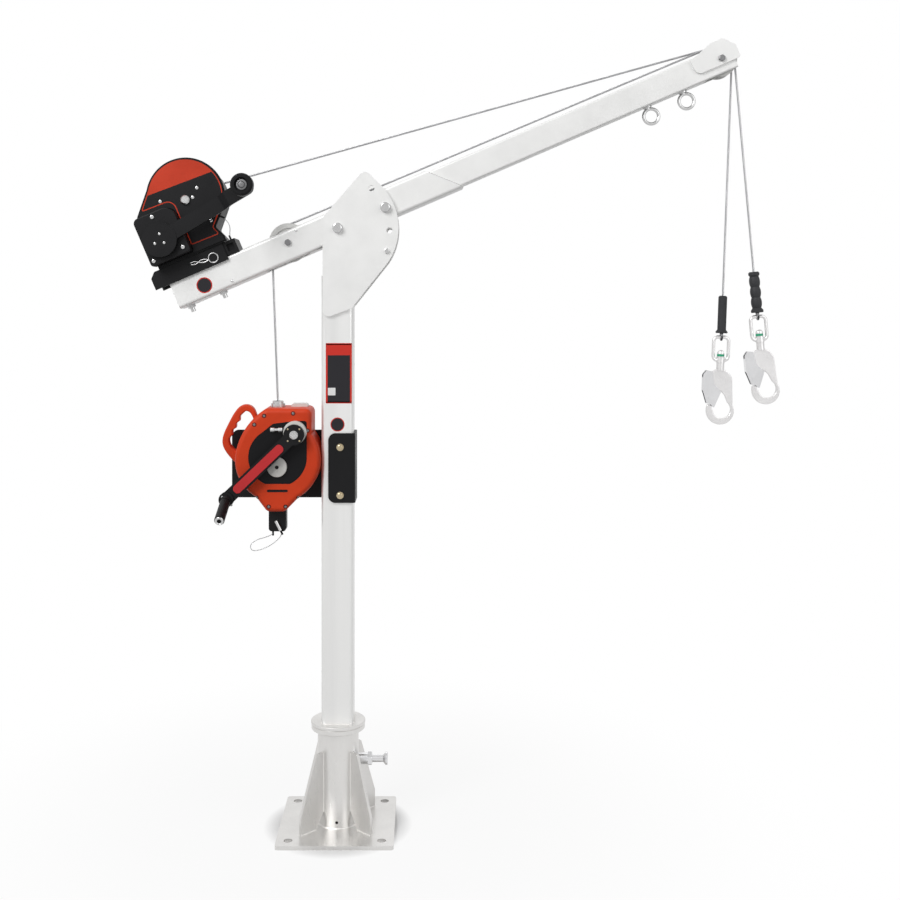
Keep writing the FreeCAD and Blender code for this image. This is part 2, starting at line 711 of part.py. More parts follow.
def sheave(a, b, y, pitch, outer):
    """Grooved rope wheel on a Y axle, with a shallow dish in each side."""
    root = ROPE / 2 + RUN_GAP
    half = SHEAVE_WIDTH / 2
    bore = AXLE / 2 + RUN_GAP
    mouth = SHEAVE_MOUTH / 2
    profile = [(-half, bore), (half, bore), (half, outer), (mouth, outer), (root, pitch), (-root, pitch),
               (-mouth, outer), (-half, outer)]
    wheel = turned(profile, point(a, y, b), Y_AXIS, {4: (0, pitch - root)})
    dish_outer = 2 * (pitch - root - SHEAVE_RIM)
    for side in (-1, 1):
        low, high = sorted((y + side * half, y + side * (half - SHEAVE_DISH)))
        wheel = wheel.cut(ring_y(a, b, low, high, dish_outer, AXLE_COLLAR + 2 * SHEAVE_RIM))
    return on_boom(wheel)


def axle(a, b, wall, seat, wheels):
    """Axle with a head on each side and collars that space its wheels between the tube walls."""
    half = SHEAVE_WIDTH / 2 + RUN_GAP
    stops = sorted([-wall, wall] + [y + side * half for y in wheels for side in (-1, 1)])
    pin = rod_y(a, b, -seat, seat, AXLE)
    for low, high in zip(stops[0::2], stops[1::2]):
        pin = pin.fuse(rod_y(a, b, low, high, AXLE_COLLAR))
    for side in (-1, 1):
        pin = pin.fuse(hex_end(point(a, side * seat, b), Y_AXIS * side, AXLE))
    return on_boom(pin)


def eye_bolt(a):
    """Ring under the boom with a collar, a stud through the tube wall and a nut inside."""
    ring_z = -INNER_HALF - EYE_DROP
    ring_mean = (EYE_OUTER + EYE_INNER) / 4
    ring = Part.makeTorus(ring_mean, (EYE_OUTER - EYE_INNER) / 4, point(a, 0, ring_z), Y_AXIS)
    under = -INNER_HALF
    inside = under + INNER_WALL
    ring = ring.fuse(rod(point(a, 0, under), point(a, 0, under - EYE_COLLAR_THICK), EYE_COLLAR))
    ring = ring.fuse(rod(point(a, 0, ring_z + ring_mean), point(a, 0, inside + EYE_STUD), EYE_STUD))
    ring = ring.fuse(hex_end(point(a, 0, inside), Z_AXIS, EYE_STUD))
    return on_boom(ring)


def make_boom():
    """Two nested square tubes, the tip fork with its cheeks, the sheaves and the eye bolts."""
    bolt_hole = HEAD_BOLT + 2 * BOLT_GAP
    axle_hole = AXLE + 2 * BOLT_GAP
    outer = square_tube(OUTER_WIDTH, OUTER_WALL, OUTER_CORNER, OUTER_REAR, OUTER_FRONT_BOTTOM)
    slope = (OUTER_FRONT_BOTTOM - OUTER_FRONT_TOP) / OUTER_WIDTH
    past = OUTER_WIDTH
    outer = outer.cut(sheet([(OUTER_FRONT_TOP - slope * past, BOOM_HALF + past, 0),
                             (OUTER_FRONT_BOTTOM + slope * past, -BOOM_HALF - past, 0),
                             (OUTER_FRONT_BOTTOM + slope * past, BOOM_HALF + past, 0)], -past, past))
    slot_half = SHEAVE_WIDTH / 2 + MID_SLOT_SPARE
    slot = (-ROPE_Y - slot_half, -ROPE_Y + slot_half)
    reach = MID_OUTER + MID_SLOT_SPARE
    inside = BOOM_HALF - OUTER_WALL
    top_half = math.sqrt(reach ** 2 - (inside - MID_SHEAVE_B) ** 2)
    bottom_half = math.sqrt(reach ** 2 - (inside + MID_SHEAVE_B) ** 2)
    outer = outer.cut(block(MID_SHEAVE_A - top_half, MID_SHEAVE_A + top_half, *slot, 0, BOOM_HALF))
    riser_rear = riser_crossing(-BOOM_HALF) - RISER_SPARE
    outer = outer.cut(block(riser_rear, MID_SHEAVE_A + bottom_half, *slot, -BOOM_HALF, 0))
    for a in (PIVOT_BOLT_A, LOCK_BOLT_A):
        outer = outer.cut(rod_y(a, HEAD_BOLT_DROP, -BOOM_HALF, BOOM_HALF, bolt_hole))
    outer = outer.cut(rod_y(MID_SHEAVE_A, MID_SHEAVE_B, -BOOM_HALF, BOOM_HALF, axle_hole))
    for a in SADDLE_BOLT_PLACES:
        outer = outer.cut(rod(point(a, 0, -BOOM_HALF), point(a, 0, BOOM_HALF), SADDLE_BOLT + 2 * BOLT_GAP))
    save("boom_outer_tube", on_boom(outer))

    inner = square_tube(INNER_WIDTH, INNER_WALL, INNER_CORNER, INNER_REAR, INNER_FRONT)
    clear = INNER_HALF - INNER_WALL
    inner = inner.cut(block(TIP_SLOT_TOP, INNER_FRONT, -clear, clear, 0, INNER_HALF))
    inner = inner.cut(block(TIP_SLOT_BOTTOM, INNER_FRONT, -clear, clear, -INNER_HALF, 0))
    for a in (PIVOT_BOLT_A, LOCK_BOLT_A):
        inner = inner.cut(rod_y(a, HEAD_BOLT_DROP, -INNER_HALF, INNER_HALF, bolt_hole))
    inner = inner.cut(rod_y(TIP_SHEAVE_A, TIP_SHEAVE_B, -INNER_HALF, INNER_HALF, axle_hole))
    for a in EYE_BOLT_PLACES:
        inner = inner.cut(rod(point(a, 0, -INNER_HALF), point(a, 0, -clear), EYE_STUD + 2 * BOLT_GAP))
    save("boom_inner_tube", on_boom(inner))

    rear, nose = TIP_SHEAVE_A - CHEEK_REAR, TIP_SHEAVE_A + CHEEK_NOSE
    foot, crown = TIP_SHEAVE_B - CHEEK_FOOT, TIP_SHEAVE_B + CHEEK_CROWN
    cheek = sheet([(rear, INNER_HALF - INNER_CORNER, 0), (rear, foot, 2 * CHEEK_ROUND),
                   (nose, foot, CHEEK_ROUND / 2),
                   (nose, TIP_SHEAVE_B + CHEEK_NOSE_RISE, CHEEK_ROUND / 2),
                   (TIP_SHEAVE_A + CHEEK_CROWN_FRONT, crown, CHEEK_ROUND),
                   (TIP_SHEAVE_A - CHEEK_CROWN_REAR, crown, CHEEK_ROUND)],
                  INNER_HALF, INNER_HALF + CHEEK_THICK)
    cheek = cheek.cut(rod_y(TIP_SHEAVE_A, TIP_SHEAVE_B, -BOOM_HALF, INNER_WIDTH, axle_hole))
    far_cheek = cheek.mirror(point(0, 0, 0), Y_AXIS)
    save("tip_cheeks", on_boom(cheek), on_boom(far_cheek))

    tip_axle = axle(TIP_SHEAVE_A, TIP_SHEAVE_B, clear, INNER_HALF + CHEEK_THICK, (-ROPE_Y, ROPE_Y))
    mid_axle = axle(MID_SHEAVE_A, MID_SHEAVE_B, inside, BOOM_HALF, (-ROPE_Y,))
    save("sheave_axles", tip_axle, mid_axle)
    save("winch_tip_sheave", sheave(TIP_SHEAVE_A, TIP_SHEAVE_B, ROPE_Y, TIP_PITCH, TIP_OUTER))
    save("lifeline_tip_sheave", sheave(TIP_SHEAVE_A, TIP_SHEAVE_B, -ROPE_Y, TIP_PITCH, TIP_OUTER))
    save("lifeline_mid_sheave", sheave(MID_SHEAVE_A, MID_SHEAVE_B, -ROPE_Y, MID_PITCH, MID_OUTER))
    save("eye_bolts", *[eye_bolt(a) for a in EYE_BOLT_PLACES])


def winch_case_outline(inset=0.0):
    """Outline of the drum casing: a round top on a sloped back and a notched front.

    inset draws it in all round, except along the foot that stands on the saddle.
    """
    radius = CASE_ROUND - inset

    def rim(angle):
        turn = math.radians(angle)
        return CASE_ROUND_A + radius * math.cos(turn), CASE_ROUND_B + radius * math.sin(turn)
    rear, toe = CASE_REAR + inset, CASE_TOE - inset
    corners = [(rear, SADDLE_TOP, 0), (toe, SADDLE_TOP, 0), (toe, SADDLE_TOP + CASE_TOE_RISE, CASE_CORNER),
               (CASE_NOTCH_A - inset, CASE_NOTCH_B, CASE_CORNER), (*rim(CASE_RIM_FRONT), 0),
               (*rim(CASE_RIM_BACK), 0), (rear, CASE_SHOULDER, CASE_CORNER)]
    return corners, {4: rim((CASE_RIM_FRONT + CASE_RIM_BACK) / 2)}


def make_saddle():
    """Box channel that straddles the boom's rear, its bolts, its stop block and the hitch pin."""
    half = BOOM_HALF + SADDLE_GAP + SADDLE_WALL
    low = BOOM_HALF - SADDLE_LAP
    saddle = sheet([(SADDLE_REAR, low, 0), (SADDLE_FRONT, low, 0), (SADDLE_FRONT, SADDLE_TOP, 0),
                    (SADDLE_REAR + SADDLE_CHAMFER, SADDLE_TOP, SADDLE_WALL),
                    (SADDLE_REAR, SADDLE_TOP - SADDLE_CHAMFER, SADDLE_WALL)], -half, half)
    room = half - SADDLE_WALL
    web = BOOM_HALF + SADDLE_WALL
    saddle = saddle.cut(block(SADDLE_REAR, SADDLE_FRONT, -room, room, low, BOOM_HALF))
    saddle = saddle.cut(block(SADDLE_REAR, SADDLE_FRONT, -room, room, web, SADDLE_TOP - SADDLE_WALL))
    hole = SADDLE_BOLT + 2 * BOLT_GAP
    bolts = []
    for a in SADDLE_BOLT_PLACES:
        saddle = saddle.cut(rod(point(a, 0, BOOM_HALF), point(a, 0, web), hole))
        bolt = rod(point(a, 0, -BOOM_HALF - SADDLE_BOLT_TAIL), point(a, 0, web), SADDLE_BOLT)
        bolt = bolt.fuse(hex_end(point(a, 0, web), Z_AXIS, SADDLE_BOLT))
        bolt = bolt.fuse(hex_end(point(a, 0, -BOOM_HALF), -Z_AXIS, SADDLE_BOLT))
        bolts.append(on_boom(bolt))
    save("winch_saddle", on_boom(saddle))
    save("winch_saddle_bolts", *bolts)

    front = SADDLE_FRONT + STOP_BLOCK_LENGTH
    stop = block(SADDLE_FRONT, front, -room, room, BOOM_HALF, BOOM_HALF + STOP_BLOCK_HEIGHT)
    middle_a = SADDLE_FRONT + STOP_BLOCK_LENGTH / 2
    middle_b = BOOM_HALF + STOP_BLOCK_HEIGHT / 2
    pocket = STOP_BLOCK_POCKET / 2
    stop = stop.cut(block(middle_a - pocket, middle_a + pocket, -room, -room + pocket,
                          middle_b - pocket, middle_b + pocket))
    save("winch_stop_block", on_boom(stop))

    wire_y = -half - HITCH_WIRE / 2
    ring = Part.makeTorus(HITCH_RING / 2, HITCH_WIRE / 2, point(HITCH_A, wire_y, HITCH_B), Y_AXIS)
    root_a = HITCH_A - HITCH_RING / 2
    step = HITCH_TAIL / 4
    for side in (-1, 1):
        waves = [(0, 0), (1, HITCH_WAVE), (2, 0.5 * HITCH_WAVE), (3, -HITCH_WAVE), (4, -0.5 * HITCH_WAVE)]
        route = [point(root_a - step * along, wire_y, HITCH_B + HITCH_RISE * along + side * wave)
                 for along, wave in waves]
        ring = ring.fuse(cord_tube(route, HITCH_WIRE, "winch_hitch_pin"))
    save("winch_hitch_pin", on_boom(ring))


def make_winch(rope_start, rope_ahead):
    """Drum casing with its front plate, gearbox cover, crank arm and turning grip."""
    corners, arcs = winch_case_outline()
    drum_corners, drum_arcs = winch_case_outline(CASE_INSET)
    drum = sheet(drum_corners, CASE_FRONT, CASE_BACK, drum_arcs)
    back_edges = [edge for edge in edges_at(drum, CASE_BACK) if edge.BoundBox.ZLength > RUN_GAP]
    drum = drum.makeFillet(CASE_CORNER, back_edges)
    case = sheet(corners, CASE_FRONT, CASE_FRONT + CASE_FLANGE, arcs).fuse(drum).removeSplitter()
    case = on_boom(case).cut(rod(rope_start, rope_start + rope_ahead * CASE_ROUND, ROPE_PORT))
    save("winch_housing", case)

    gearbox = [(GEARBOX_REAR, GEARBOX_BOTTOM, GEARBOX_CORNER),
               (GEARBOX_FRONT, GEARBOX_BOTTOM, GEARBOX_CORNER),
               (GEARBOX_FRONT, GEARBOX_TOP, GEARBOX_SHOULDER),
               (GEARBOX_REAR, GEARBOX_TOP, 2 * GEARBOX_CORNER)]
    cover_front = CASE_FRONT - GEARBOX_DEPTH
    cover = sheet(gearbox, cover_front, CASE_FRONT)
    cover = cover.makeFillet(GEARBOX_EASE, edges_at(cover, cover_front))
    window = Part.Face(rounded_outline(gearbox)).makeOffset2D(FACE_INSET / 2)
    window = window.extrude(point(0, CASE_FRONT - FACE_THICK, 0))
    face = Part.Face(rounded_outline(corners, arcs)).makeOffset2D(-FACE_INSET)
    face.translate(point(0, CASE_FRONT - FACE_THICK, 0))
    face = face.extrude(point(0, FACE_THICK, 0)).cut(window)
    save("winch_face_plate", on_boom(face.Solids[0]))
    save("winch_gearbox_cover", on_boom(cover))
    bolt_front = CASE_FRONT - FACE_THICK
    bolt_rim = DRUM_BOLT_HEIGHT - DRUM_BOLT_EASE
    bolt = turned([(0, 0), (0, DRUM_BOLT / 2), (bolt_rim, DRUM_BOLT / 2),
                   (DRUM_BOLT_HEIGHT, DRUM_BOLT / 2 - DRUM_BOLT_EASE), (DRUM_BOLT_HEIGHT, 0)],
                  point(DRUM_A, bolt_front, DRUM_B), -Y_AXIS)
    save("winch_shaft_bolt", on_boom(bolt))

    hub_back = cover_front - CRANK_GAP
    arm_front = hub_back - CRANK_ARM_THICK
    bend = CRANK_REACH - CRANK_BEND
    lead = CRANK_ARM_THICK * math.tan(math.radians(22.5))
    round_bend = CRANK_ARM_THICK / 2
    past = CRANK_REACH + CRANK_ARM_WIDTH
    step_end, back_step, front_step = bend + CRANK_STEP, CRANK_STEP - hub_back, CRANK_STEP - arm_front
    side_view = [(0, -hub_back, 0), (bend, -hub_back, round_bend), (step_end, back_step, round_bend),
                 (past, back_step, 0), (past, front_step, 0), (step_end - lead, front_step, round_bend),
                 (bend - lead, -arm_front, round_bend), (0, -arm_front, 0)]
    half = CRANK_ARM_WIDTH / 2
    arm = sheet(side_view, -half, half)
    arm.rotate(point(0, 0, 0), point(1, 0, 0), 90)
    knob_y = arm_front - CRANK_STEP
    plan = block(0, CRANK_REACH, knob_y, hub_back, -half, half)
    plan = plan.fuse(rod_y(CRANK_REACH, 0, knob_y, hub_back, CRANK_ARM_WIDTH))
    arm = arm.common(plan)
    arm = arm.fuse(rod_y(0, 0, hub_back - CRANK_HUB_THICK, hub_back, CRANK_HUB))
    arm = arm.fuse(rod_y(0, 0, hub_back, cover_front - RUN_GAP, CRANK_SHAFT))
    pin_end = knob_y - CRANK_KNOB_LENGTH
    arm = arm.fuse(rod_y(CRANK_REACH, 0, pin_end + KNOB_RECESS, knob_y, GRIP_PIN))
    knob, foot, dish = CRANK_KNOB / 2, CRANK_KNOB_FOOT / 2, CRANK_KNOB_DISH / 2
    bore = GRIP_PIN / 2 + RUN_GAP
    shoulder, floor = CRANK_KNOB_LENGTH - CRANK_KNOB_EASE, CRANK_KNOB_LENGTH - KNOB_RECESS
    belly = CRANK_KNOB_LENGTH * CRANK_KNOB_BELLY
    profile = [(RUN_GAP, bore), (RUN_GAP, foot), (belly, knob), (shoulder, knob),
               (CRANK_KNOB_LENGTH, knob - CRANK_KNOB_EASE), (CRANK_KNOB_LENGTH, dish), (floor, dish - KNOB_EASE),
               (floor, bore)]
    waist = {1: (belly / 2, (foot + knob) / 2 - KNOB_EASE)}
    grip = turned(profile, point(CRANK_REACH, knob_y, 0), -Y_AXIS, waist)
    for name, shape in (("winch_crank_arm", arm), ("winch_crank_grip", grip)):
        shape.rotate(point(0, 0, 0), Y_AXIS, -CRANK_RISE)
        shape.translate(point(CRANK_A, 0, CRANK_B))
        save(name, on_boom(shape))


def make_bracket():
    """Bent plate that wraps three sides of the mast, and its two through bolts."""
    out = MAST_HALF + BRACKET_THICK

    def leaf(left, y0, y1):
        return sheet([(left, BRACKET_BOTTOM, BRACKET_ROUND), (out, BRACKET_BOTTOM, 0), (out, BRACKET_TOP, 0),
                      (left, BRACKET_TOP, BRACKET_ROUND)], y0, y1)
    web = block(MAST_HALF, out, -out, out, BRACKET_BOTTOM, BRACKET_TOP)
    bracket = web.fuse(leaf(BRACKET_LEFT, MAST_HALF, out)).fuse(leaf(BRACKET_LEAF, -out, -MAST_HALF))
    bracket = bracket.removeSplitter()
    bends = [edge for edge in bracket.Edges
             if edge.BoundBox.XMin > out - 1e-6 and edge.BoundBox.ZLength > BRACKET_THICK]
    bracket = bracket.makeFillet(BRACKET_THICK, bends)
    bolts = []
    for height in BRACKET_BOLT_HEIGHTS:
        bracket = bracket.cut(rod_y(BRACKET_BOLT_X, height, -out, out, BRACKET_BOLT + 2 * BOLT_GAP))
        bolt = rod_y(BRACKET_BOLT_X, height, -out - BRACKET_BOLT, out + BRACKET_BOLT, BRACKET_BOLT)
        for side in (-1, 1):
            seat = side * (out + BRACKET_WASHER_THICK)
            low, high = sorted((side * out, seat))
            bolt = bolt.fuse(rod_y(BRACKET_BOLT_X, height, low, high, BRACKET_WASHER))
            bolt = bolt.fuse(hex_end(point(BRACKET_BOLT_X, seat, height), Y_AXIS * side, BRACKET_BOLT))
        bolts.append(bolt)
    save("lifeline_bracket", bracket)
    save("bracket_bolts", *bolts)


def lifeline_case():
    """Moulded lifeline casing: a round drum with a square neck above and a taper to the lug."""
    def rim(angle):
        turn = math.radians(angle)
        return CASE_X + CASE_RADIUS * math.cos(turn), CASE_Z + CASE_RADIUS * math.sin(turn)
    neck_angle = math.degrees(math.acos((NECK_RIGHT - CASE_X) / CASE_RADIUS))
    corners = [(LUG_LEFT, LUG_TOP, CASE_FOOT_ROUND), (LUG_RIGHT, LUG_TOP, CASE_FOOT_ROUND),
               (*rim(-CASE_TAPER), 0), (*rim(neck_angle), 0), (NECK_RIGHT, NECK_TOP, NECK_ROUND),
               (NECK_LEFT, NECK_TOP, 0), (*rim(CASE_FLANK_START), 0), (*rim(180 + CASE_TAPER), 0)]
    arcs = {2: rim((neck_angle - CASE_TAPER) / 2), 5: (CASE_FLANK_X, CASE_FLANK_Z),
            6: rim((CASE_FLANK_START + 180 + CASE_TAPER) / 2)}
    front = MAST_HALF - CASE_DEPTH
    case = sheet(corners, front, MAST_HALF, arcs)
    return case.makeFillet(CASE_SOFTEN, edges_at(case, front))


def smooth_line(places):
    """Edge of a smooth curve through places from the casing's centre."""
    curve = Part.BSplineCurve()
    curve.interpolate([point(CASE_X + x, 0, CASE_Z + z) for x, z in places])
    return curve.toShape()


def carrying_handle(case):
    """Bow handle with finger hollows, moulded onto the casing's flank."""
    half = HANDLE_DEPTH / 2
    outer, inner = smooth_line(HANDLE_OUTER), smooth_line(HANDLE_INNER)
    ends = [line(outer.Vertexes[i].Point, inner.Vertexes[i].Point) for i in (0, 1)]
    face = Part.Face(Part.Wire([outer, ends[1], inner, ends[0]]))
    face.translate(point(0, -ROPE_Y - half, 0))
    bow = face.extrude(point(0, HANDLE_DEPTH, 0))
    for edge, radius in ((inner, HANDLE_HOLLOW_SOFTEN), (outer, HANDLE_SOFTEN)):
        flat = edges_at(bow, -ROPE_Y - half) + edges_at(bow, -ROPE_Y + half)
        bow = bow.makeFillet(radius, [rim for rim in flat if abs(rim.Length - edge.Length) < 1e-3])
    return bow.cut(case)


def face_shape(y0, y1, grow):
    """Dark face: a round panel with a flat foot and a shelf that reaches behind the crank's hub."""
    radius = FACE_RADIUS
    panel = rod_y(FACE_X, FACE_Z, y0, y1, 2 * radius)
    panel = panel.cut(block(FACE_X - radius, FACE_X + radius, y0, y1, FACE_Z - radius, FACE_BOTTOM))
    lean = math.radians(135)
    start = (FACE_X + radius * math.cos(lean), FACE_Z + radius * math.sin(lean), 0)
    shelf = sheet([start, (SHELF_X, SHELF_Z, SHELF_ROUND), (RETRIEVAL_X, SHELF_TOP, SHELF_ROUND),
                   (SHELF_RIGHT, SHELF_TOP, SHELF_ROUND), (SHELF_RIGHT, FACE_Z, 0), (FACE_X, FACE_Z, 0)],
                  y0, y1)
    whole = panel.fuse(shelf).removeSplitter()
    if not grow:
        return whole
    front = [face for face in whole.Faces if abs(face.CenterOfMass.y - y0) < 1e-6][0]
    return front.makeOffset2D(grow).extrude(point(0, y1 - y0, 0))


def make_lifeline():
    """Lifeline casing, carrying handle, dark face, nozzle, top cover and lug."""
    front = MAST_HALF - CASE_DEPTH
    face_back = front + FACE_RECESS
    case = lifeline_case()
    save("lifeline_handle", carrying_handle(case))

    boss_front = front - RETRIEVAL_BOSS_DEPTH
    boss = rod_y(RETRIEVAL_X, RETRIEVAL_Z, boss_front, face_back, 2 * RETRIEVAL_BOSS)
    boss_room = rod_y(RETRIEVAL_X, RETRIEVAL_Z, boss_front, face_back, 2 * (RETRIEVAL_BOSS + RUN_GAP))
    save("lifeline_housing", case.cut(face_shape(front, face_back, RUN_GAP)).cut(boss_room))
    save("lifeline_face", face_shape(front + FACE_SUNK, face_back, 0).cut(boss_room))
    save("lifeline_gear_housing", boss)

    face_front = front + FACE_SUNK
    cap = turned([(0, 0), (0, CAP_RADIUS), (CAP_HEIGHT - CAP_EASE, CAP_RADIUS),
                  (CAP_HEIGHT, CAP_RADIUS - CAP_EASE), (CAP_HEIGHT, 0)],
                 point(CAP_X, face_front, CAP_Z), -Y_AXIS)
    knob, shank, latch_end = LATCH / 2, LATCH_SHANK / 2, LATCH_RIGHT - LATCH_LEFT
    far_knob = latch_end - LATCH_KNOB_LENGTH
    latch = turned([(0, 0), (0, knob), (LATCH_KNOB_LENGTH, knob), (LATCH_KNOB_LENGTH, shank), (far_knob, shank),
                    (far_knob, knob), (latch_end, knob), (latch_end, 0)],
                   point(LATCH_LEFT, face_front - knob, LATCH_Z), point(1, 0, 0))
    save("lifeline_face_fittings", cap, latch)

    bore, foot, lip = NOZZLE_BORE / 2, NOZZLE_OUTER / 2, NOZZLE_TOP / 2
    nozzle = turned([(0, bore), (0, foot), (NOZZLE_STEP, foot), (NOZZLE_STEP, lip + RIM_EASE),
                     (NOZZLE_HEIGHT - RIM_EASE, lip + RIM_EASE), (NOZZLE_HEIGHT, lip), (NOZZLE_HEIGHT, bore)],
                    point(NOZZLE_X, -ROPE_Y, NECK_TOP), Z_AXIS)
    save("lifeline_nozzle", nozzle)
    cover_top = NECK_TOP + COVER_HEIGHT
    cover_round = COVER_HEIGHT - RIM_EASE
    cover = sheet([(COVER_LEFT, NECK_TOP, 0), (COVER_RIGHT, NECK_TOP, 0), (COVER_RIGHT, cover_top, cover_round),
                   (COVER_LEFT, cover_top, cover_round)], COVER_FRONT, COVER_BACK)
    save("lifeline_top_cover", cover)

    lug_front = -ROPE_Y - LUG_THICK / 2
    lug = sheet([(LUG_LEFT, LUG_BOTTOM, LUG_ROUND), (LUG_RIGHT, LUG_BOTTOM, LUG_ROUND),
                 (LUG_RIGHT, LUG_TOP, 0), (LUG_LEFT, LUG_TOP, 0)], lug_front, lug_front + LUG_THICK).cut(case)
    lug_x = (LUG_LEFT + LUG_RIGHT) / 2
    pin_z = LUG_BOTTOM + LUG_PIN_RISE
    lug = lug.cut(rod_y(lug_x, pin_z, lug_front, lug_front + LUG_THICK, LUG_PIN + 2 * BOLT_GAP))
    save("lifeline_lug", lug)
    pin = rod_y(lug_x, pin_z, lug_front - LUG_PIN, lug_front + LUG_THICK + LUG_PIN_PAST, LUG_PIN)
    save("lug_pin", pin.fuse(rod(*lug_tab(), LUG_PIN)))


def lug_tab():
    """Ends of the pull tab that crosses the lug pin's head."""
    head = point((LUG_LEFT + LUG_RIGHT) / 2, -ROPE_Y - LUG_THICK / 2 - LUG_PIN, LUG_BOTTOM + LUG_PIN_RISE)
    top = head + point(-LUG_TAB_LEAN, 0, LUG_TAB) * LUG_TAB_SHARE
    return top, top + point(LUG_TAB_LEAN, 0, -LUG_TAB)


def make_retrieval_crank():
    """Retrieval crank: hub disc, bar with a raised strip, end block and a drooping grip."""
    hub_back = MAST_HALF - CASE_DEPTH - RETRIEVAL_BOSS_DEPTH - RUN_GAP
    arm_front = hub_back - RETRIEVAL_HUB_THICK
    end_front = arm_front - RETRIEVAL_END_RAISE
    run = point(RETRIEVAL_END_X - RETRIEVAL_X, 0, RETRIEVAL_END_Z - RETRIEVAL_Z)
    length = run.Length
    half = RETRIEVAL_ARM_WIDTH / 2
    arm_back = arm_front + RETRIEVAL_ARM_THICK
    arm = block(0, length, arm_front, arm_back, -half, half)
    arm = arm.fuse(rod_y(length, 0, end_front, arm_back, RETRIEVAL_END_BOSS))
    arm = arm.fuse(rod_y(0, 0, arm_front, hub_back, 2 * RETRIEVAL_HUB))
    arm = arm.fuse(hex_end(point(0, arm_front, 0), -Y_AXIS, RETRIEVAL_NUT)).removeSplitter()
    strip_half = half - STRIP_MARGIN
    strip_round = strip_half - RIM_EASE
    strip_end = length - STRIP_STOP
    strip = sheet([(STRIP_START, -strip_half, strip_round), (strip_end, -strip_half, strip_round),
                   (strip_end, strip_half, strip_round), (STRIP_START, strip_half, strip_round)],
                  arm_front - STRIP_THICK, arm_front)
    for shape in (arm, strip):
        shape.rotate(point(0, 0, 0), Y_AXIS, -math.degrees(math.atan2(run.z, run.x)))
        shape.translate(point(RETRIEVAL_X, 0, RETRIEVAL_Z))
    save("lifeline_crank_strip", strip)

    droop = math.radians(RETRIEVAL_DROOP)
    ahead = point(0, -math.cos(droop), -math.sin(droop))
    seat = point(RETRIEVAL_END_X, end_front, RETRIEVAL_END_Z)
    neck = seat + ahead * RETRIEVAL_NECK
    pin_end = neck + ahead * (RETRIEVAL_GRIP_LENGTH - RETRIEVAL_GRIP_EASE)
    arm = arm.fuse(rod(seat - ahead * RETRIEVAL_END_RAISE, neck, RETRIEVAL_GRIP))
    arm = arm.fuse(rod(neck, pin_end, GRIP_PIN))
    save("lifeline_crank_arm", arm)
    grip = RETRIEVAL_GRIP / 2
    bore = GRIP_PIN / 2 + RUN_GAP
    profile = [(RUN_GAP, bore), (RUN_GAP, grip - RETRIEVAL_GRIP_EASE), (RETRIEVAL_GRIP_EASE, grip),
               (RETRIEVAL_GRIP_LENGTH - RETRIEVAL_GRIP_EASE, grip),
               (RETRIEVAL_GRIP_LENGTH, grip - RETRIEVAL_GRIP_EASE), (RETRIEVAL_GRIP_LENGTH, bore)]
    save("lifeline_crank_grip", turned(profile, neck, ahead))


def toward(start, end):
    """Angle in degrees, from +X towards +Z, of the way from start to end."""
    return math.degrees(math.atan2(end.z - start.z, end.x - start.x))


def onto_wheel(start, centre, radius):
    """Angle of a taut rope that rises from start and passes a wheel on its left side."""
    return toward(start, centre) + math.degrees(math.asin(radius / (centre - start).Length))


def lifeline_exit():
    return point(NOZZLE_X, -ROPE_Y, NECK_TOP + RUN_GAP)


def riser_crossing(b):
    """Length along the boom where the lifeline's rising rope passes a height on it."""
    start = lifeline_exit()
    rise = onto_wheel(start, boom_place(MID_SHEAVE_A, MID_SHEAVE_B, -ROPE_Y), MID_PITCH)
    tilt = math.radians(BOOM_ANGLE)
    below = start - boom_place(0, 0, -ROPE_Y)
    start_a = below.x * math.cos(tilt) + below.z * math.sin(tilt)
    start_b = below.z * math.cos(tilt) - below.x * math.sin(tilt)
    return start_a + (b - start_b) / math.tan(math.radians(rise) - tilt)


def between_wheels(first, first_radius, second, second_radius):
    """Angle of a taut rope that runs over the tops of two wheels."""
    gap = (second - first).Length
    return toward(first, second) - math.degrees(math.asin((first_radius - second_radius) / gap))


def around(centre, radius, angle):
    turn = math.radians(angle)
    return centre + point(math.cos(turn), 0, math.sin(turn)) * radius


def cord_tube(points, diameter, name):
    """Thin cord through hand-placed points, each corner rounded as far as its runs allow."""
    edges = []
    here = points[0]
    radii = []
    for before, corner, after in zip(points, points[1:], points[2:]):
        back = before - corner
        ahead = after - corner
        half_turn = (math.pi - back.getAngle(ahead)) / 2
        trim = CORD_TRIM * min(back.Length, ahead.Length)
        radius = trim / math.tan(half_turn)
        radii.append(round(radius, 1))
        entry = corner + back.normalize() * trim
        leave = corner + ahead.normalize() * trim
        bisector = (back + ahead).normalize()
        middle = corner + bisector * (radius / math.cos(half_turn) - radius)
        edges += [line(here, entry), Part.Arc(entry, middle, leave).toShape()]
        here = leave
    edges.append(line(here, points[-1]))
    print(name, "radii", radii, "length", round(sum(edge.Length for edge in edges), 1))
    return pipe(edges, diameter)


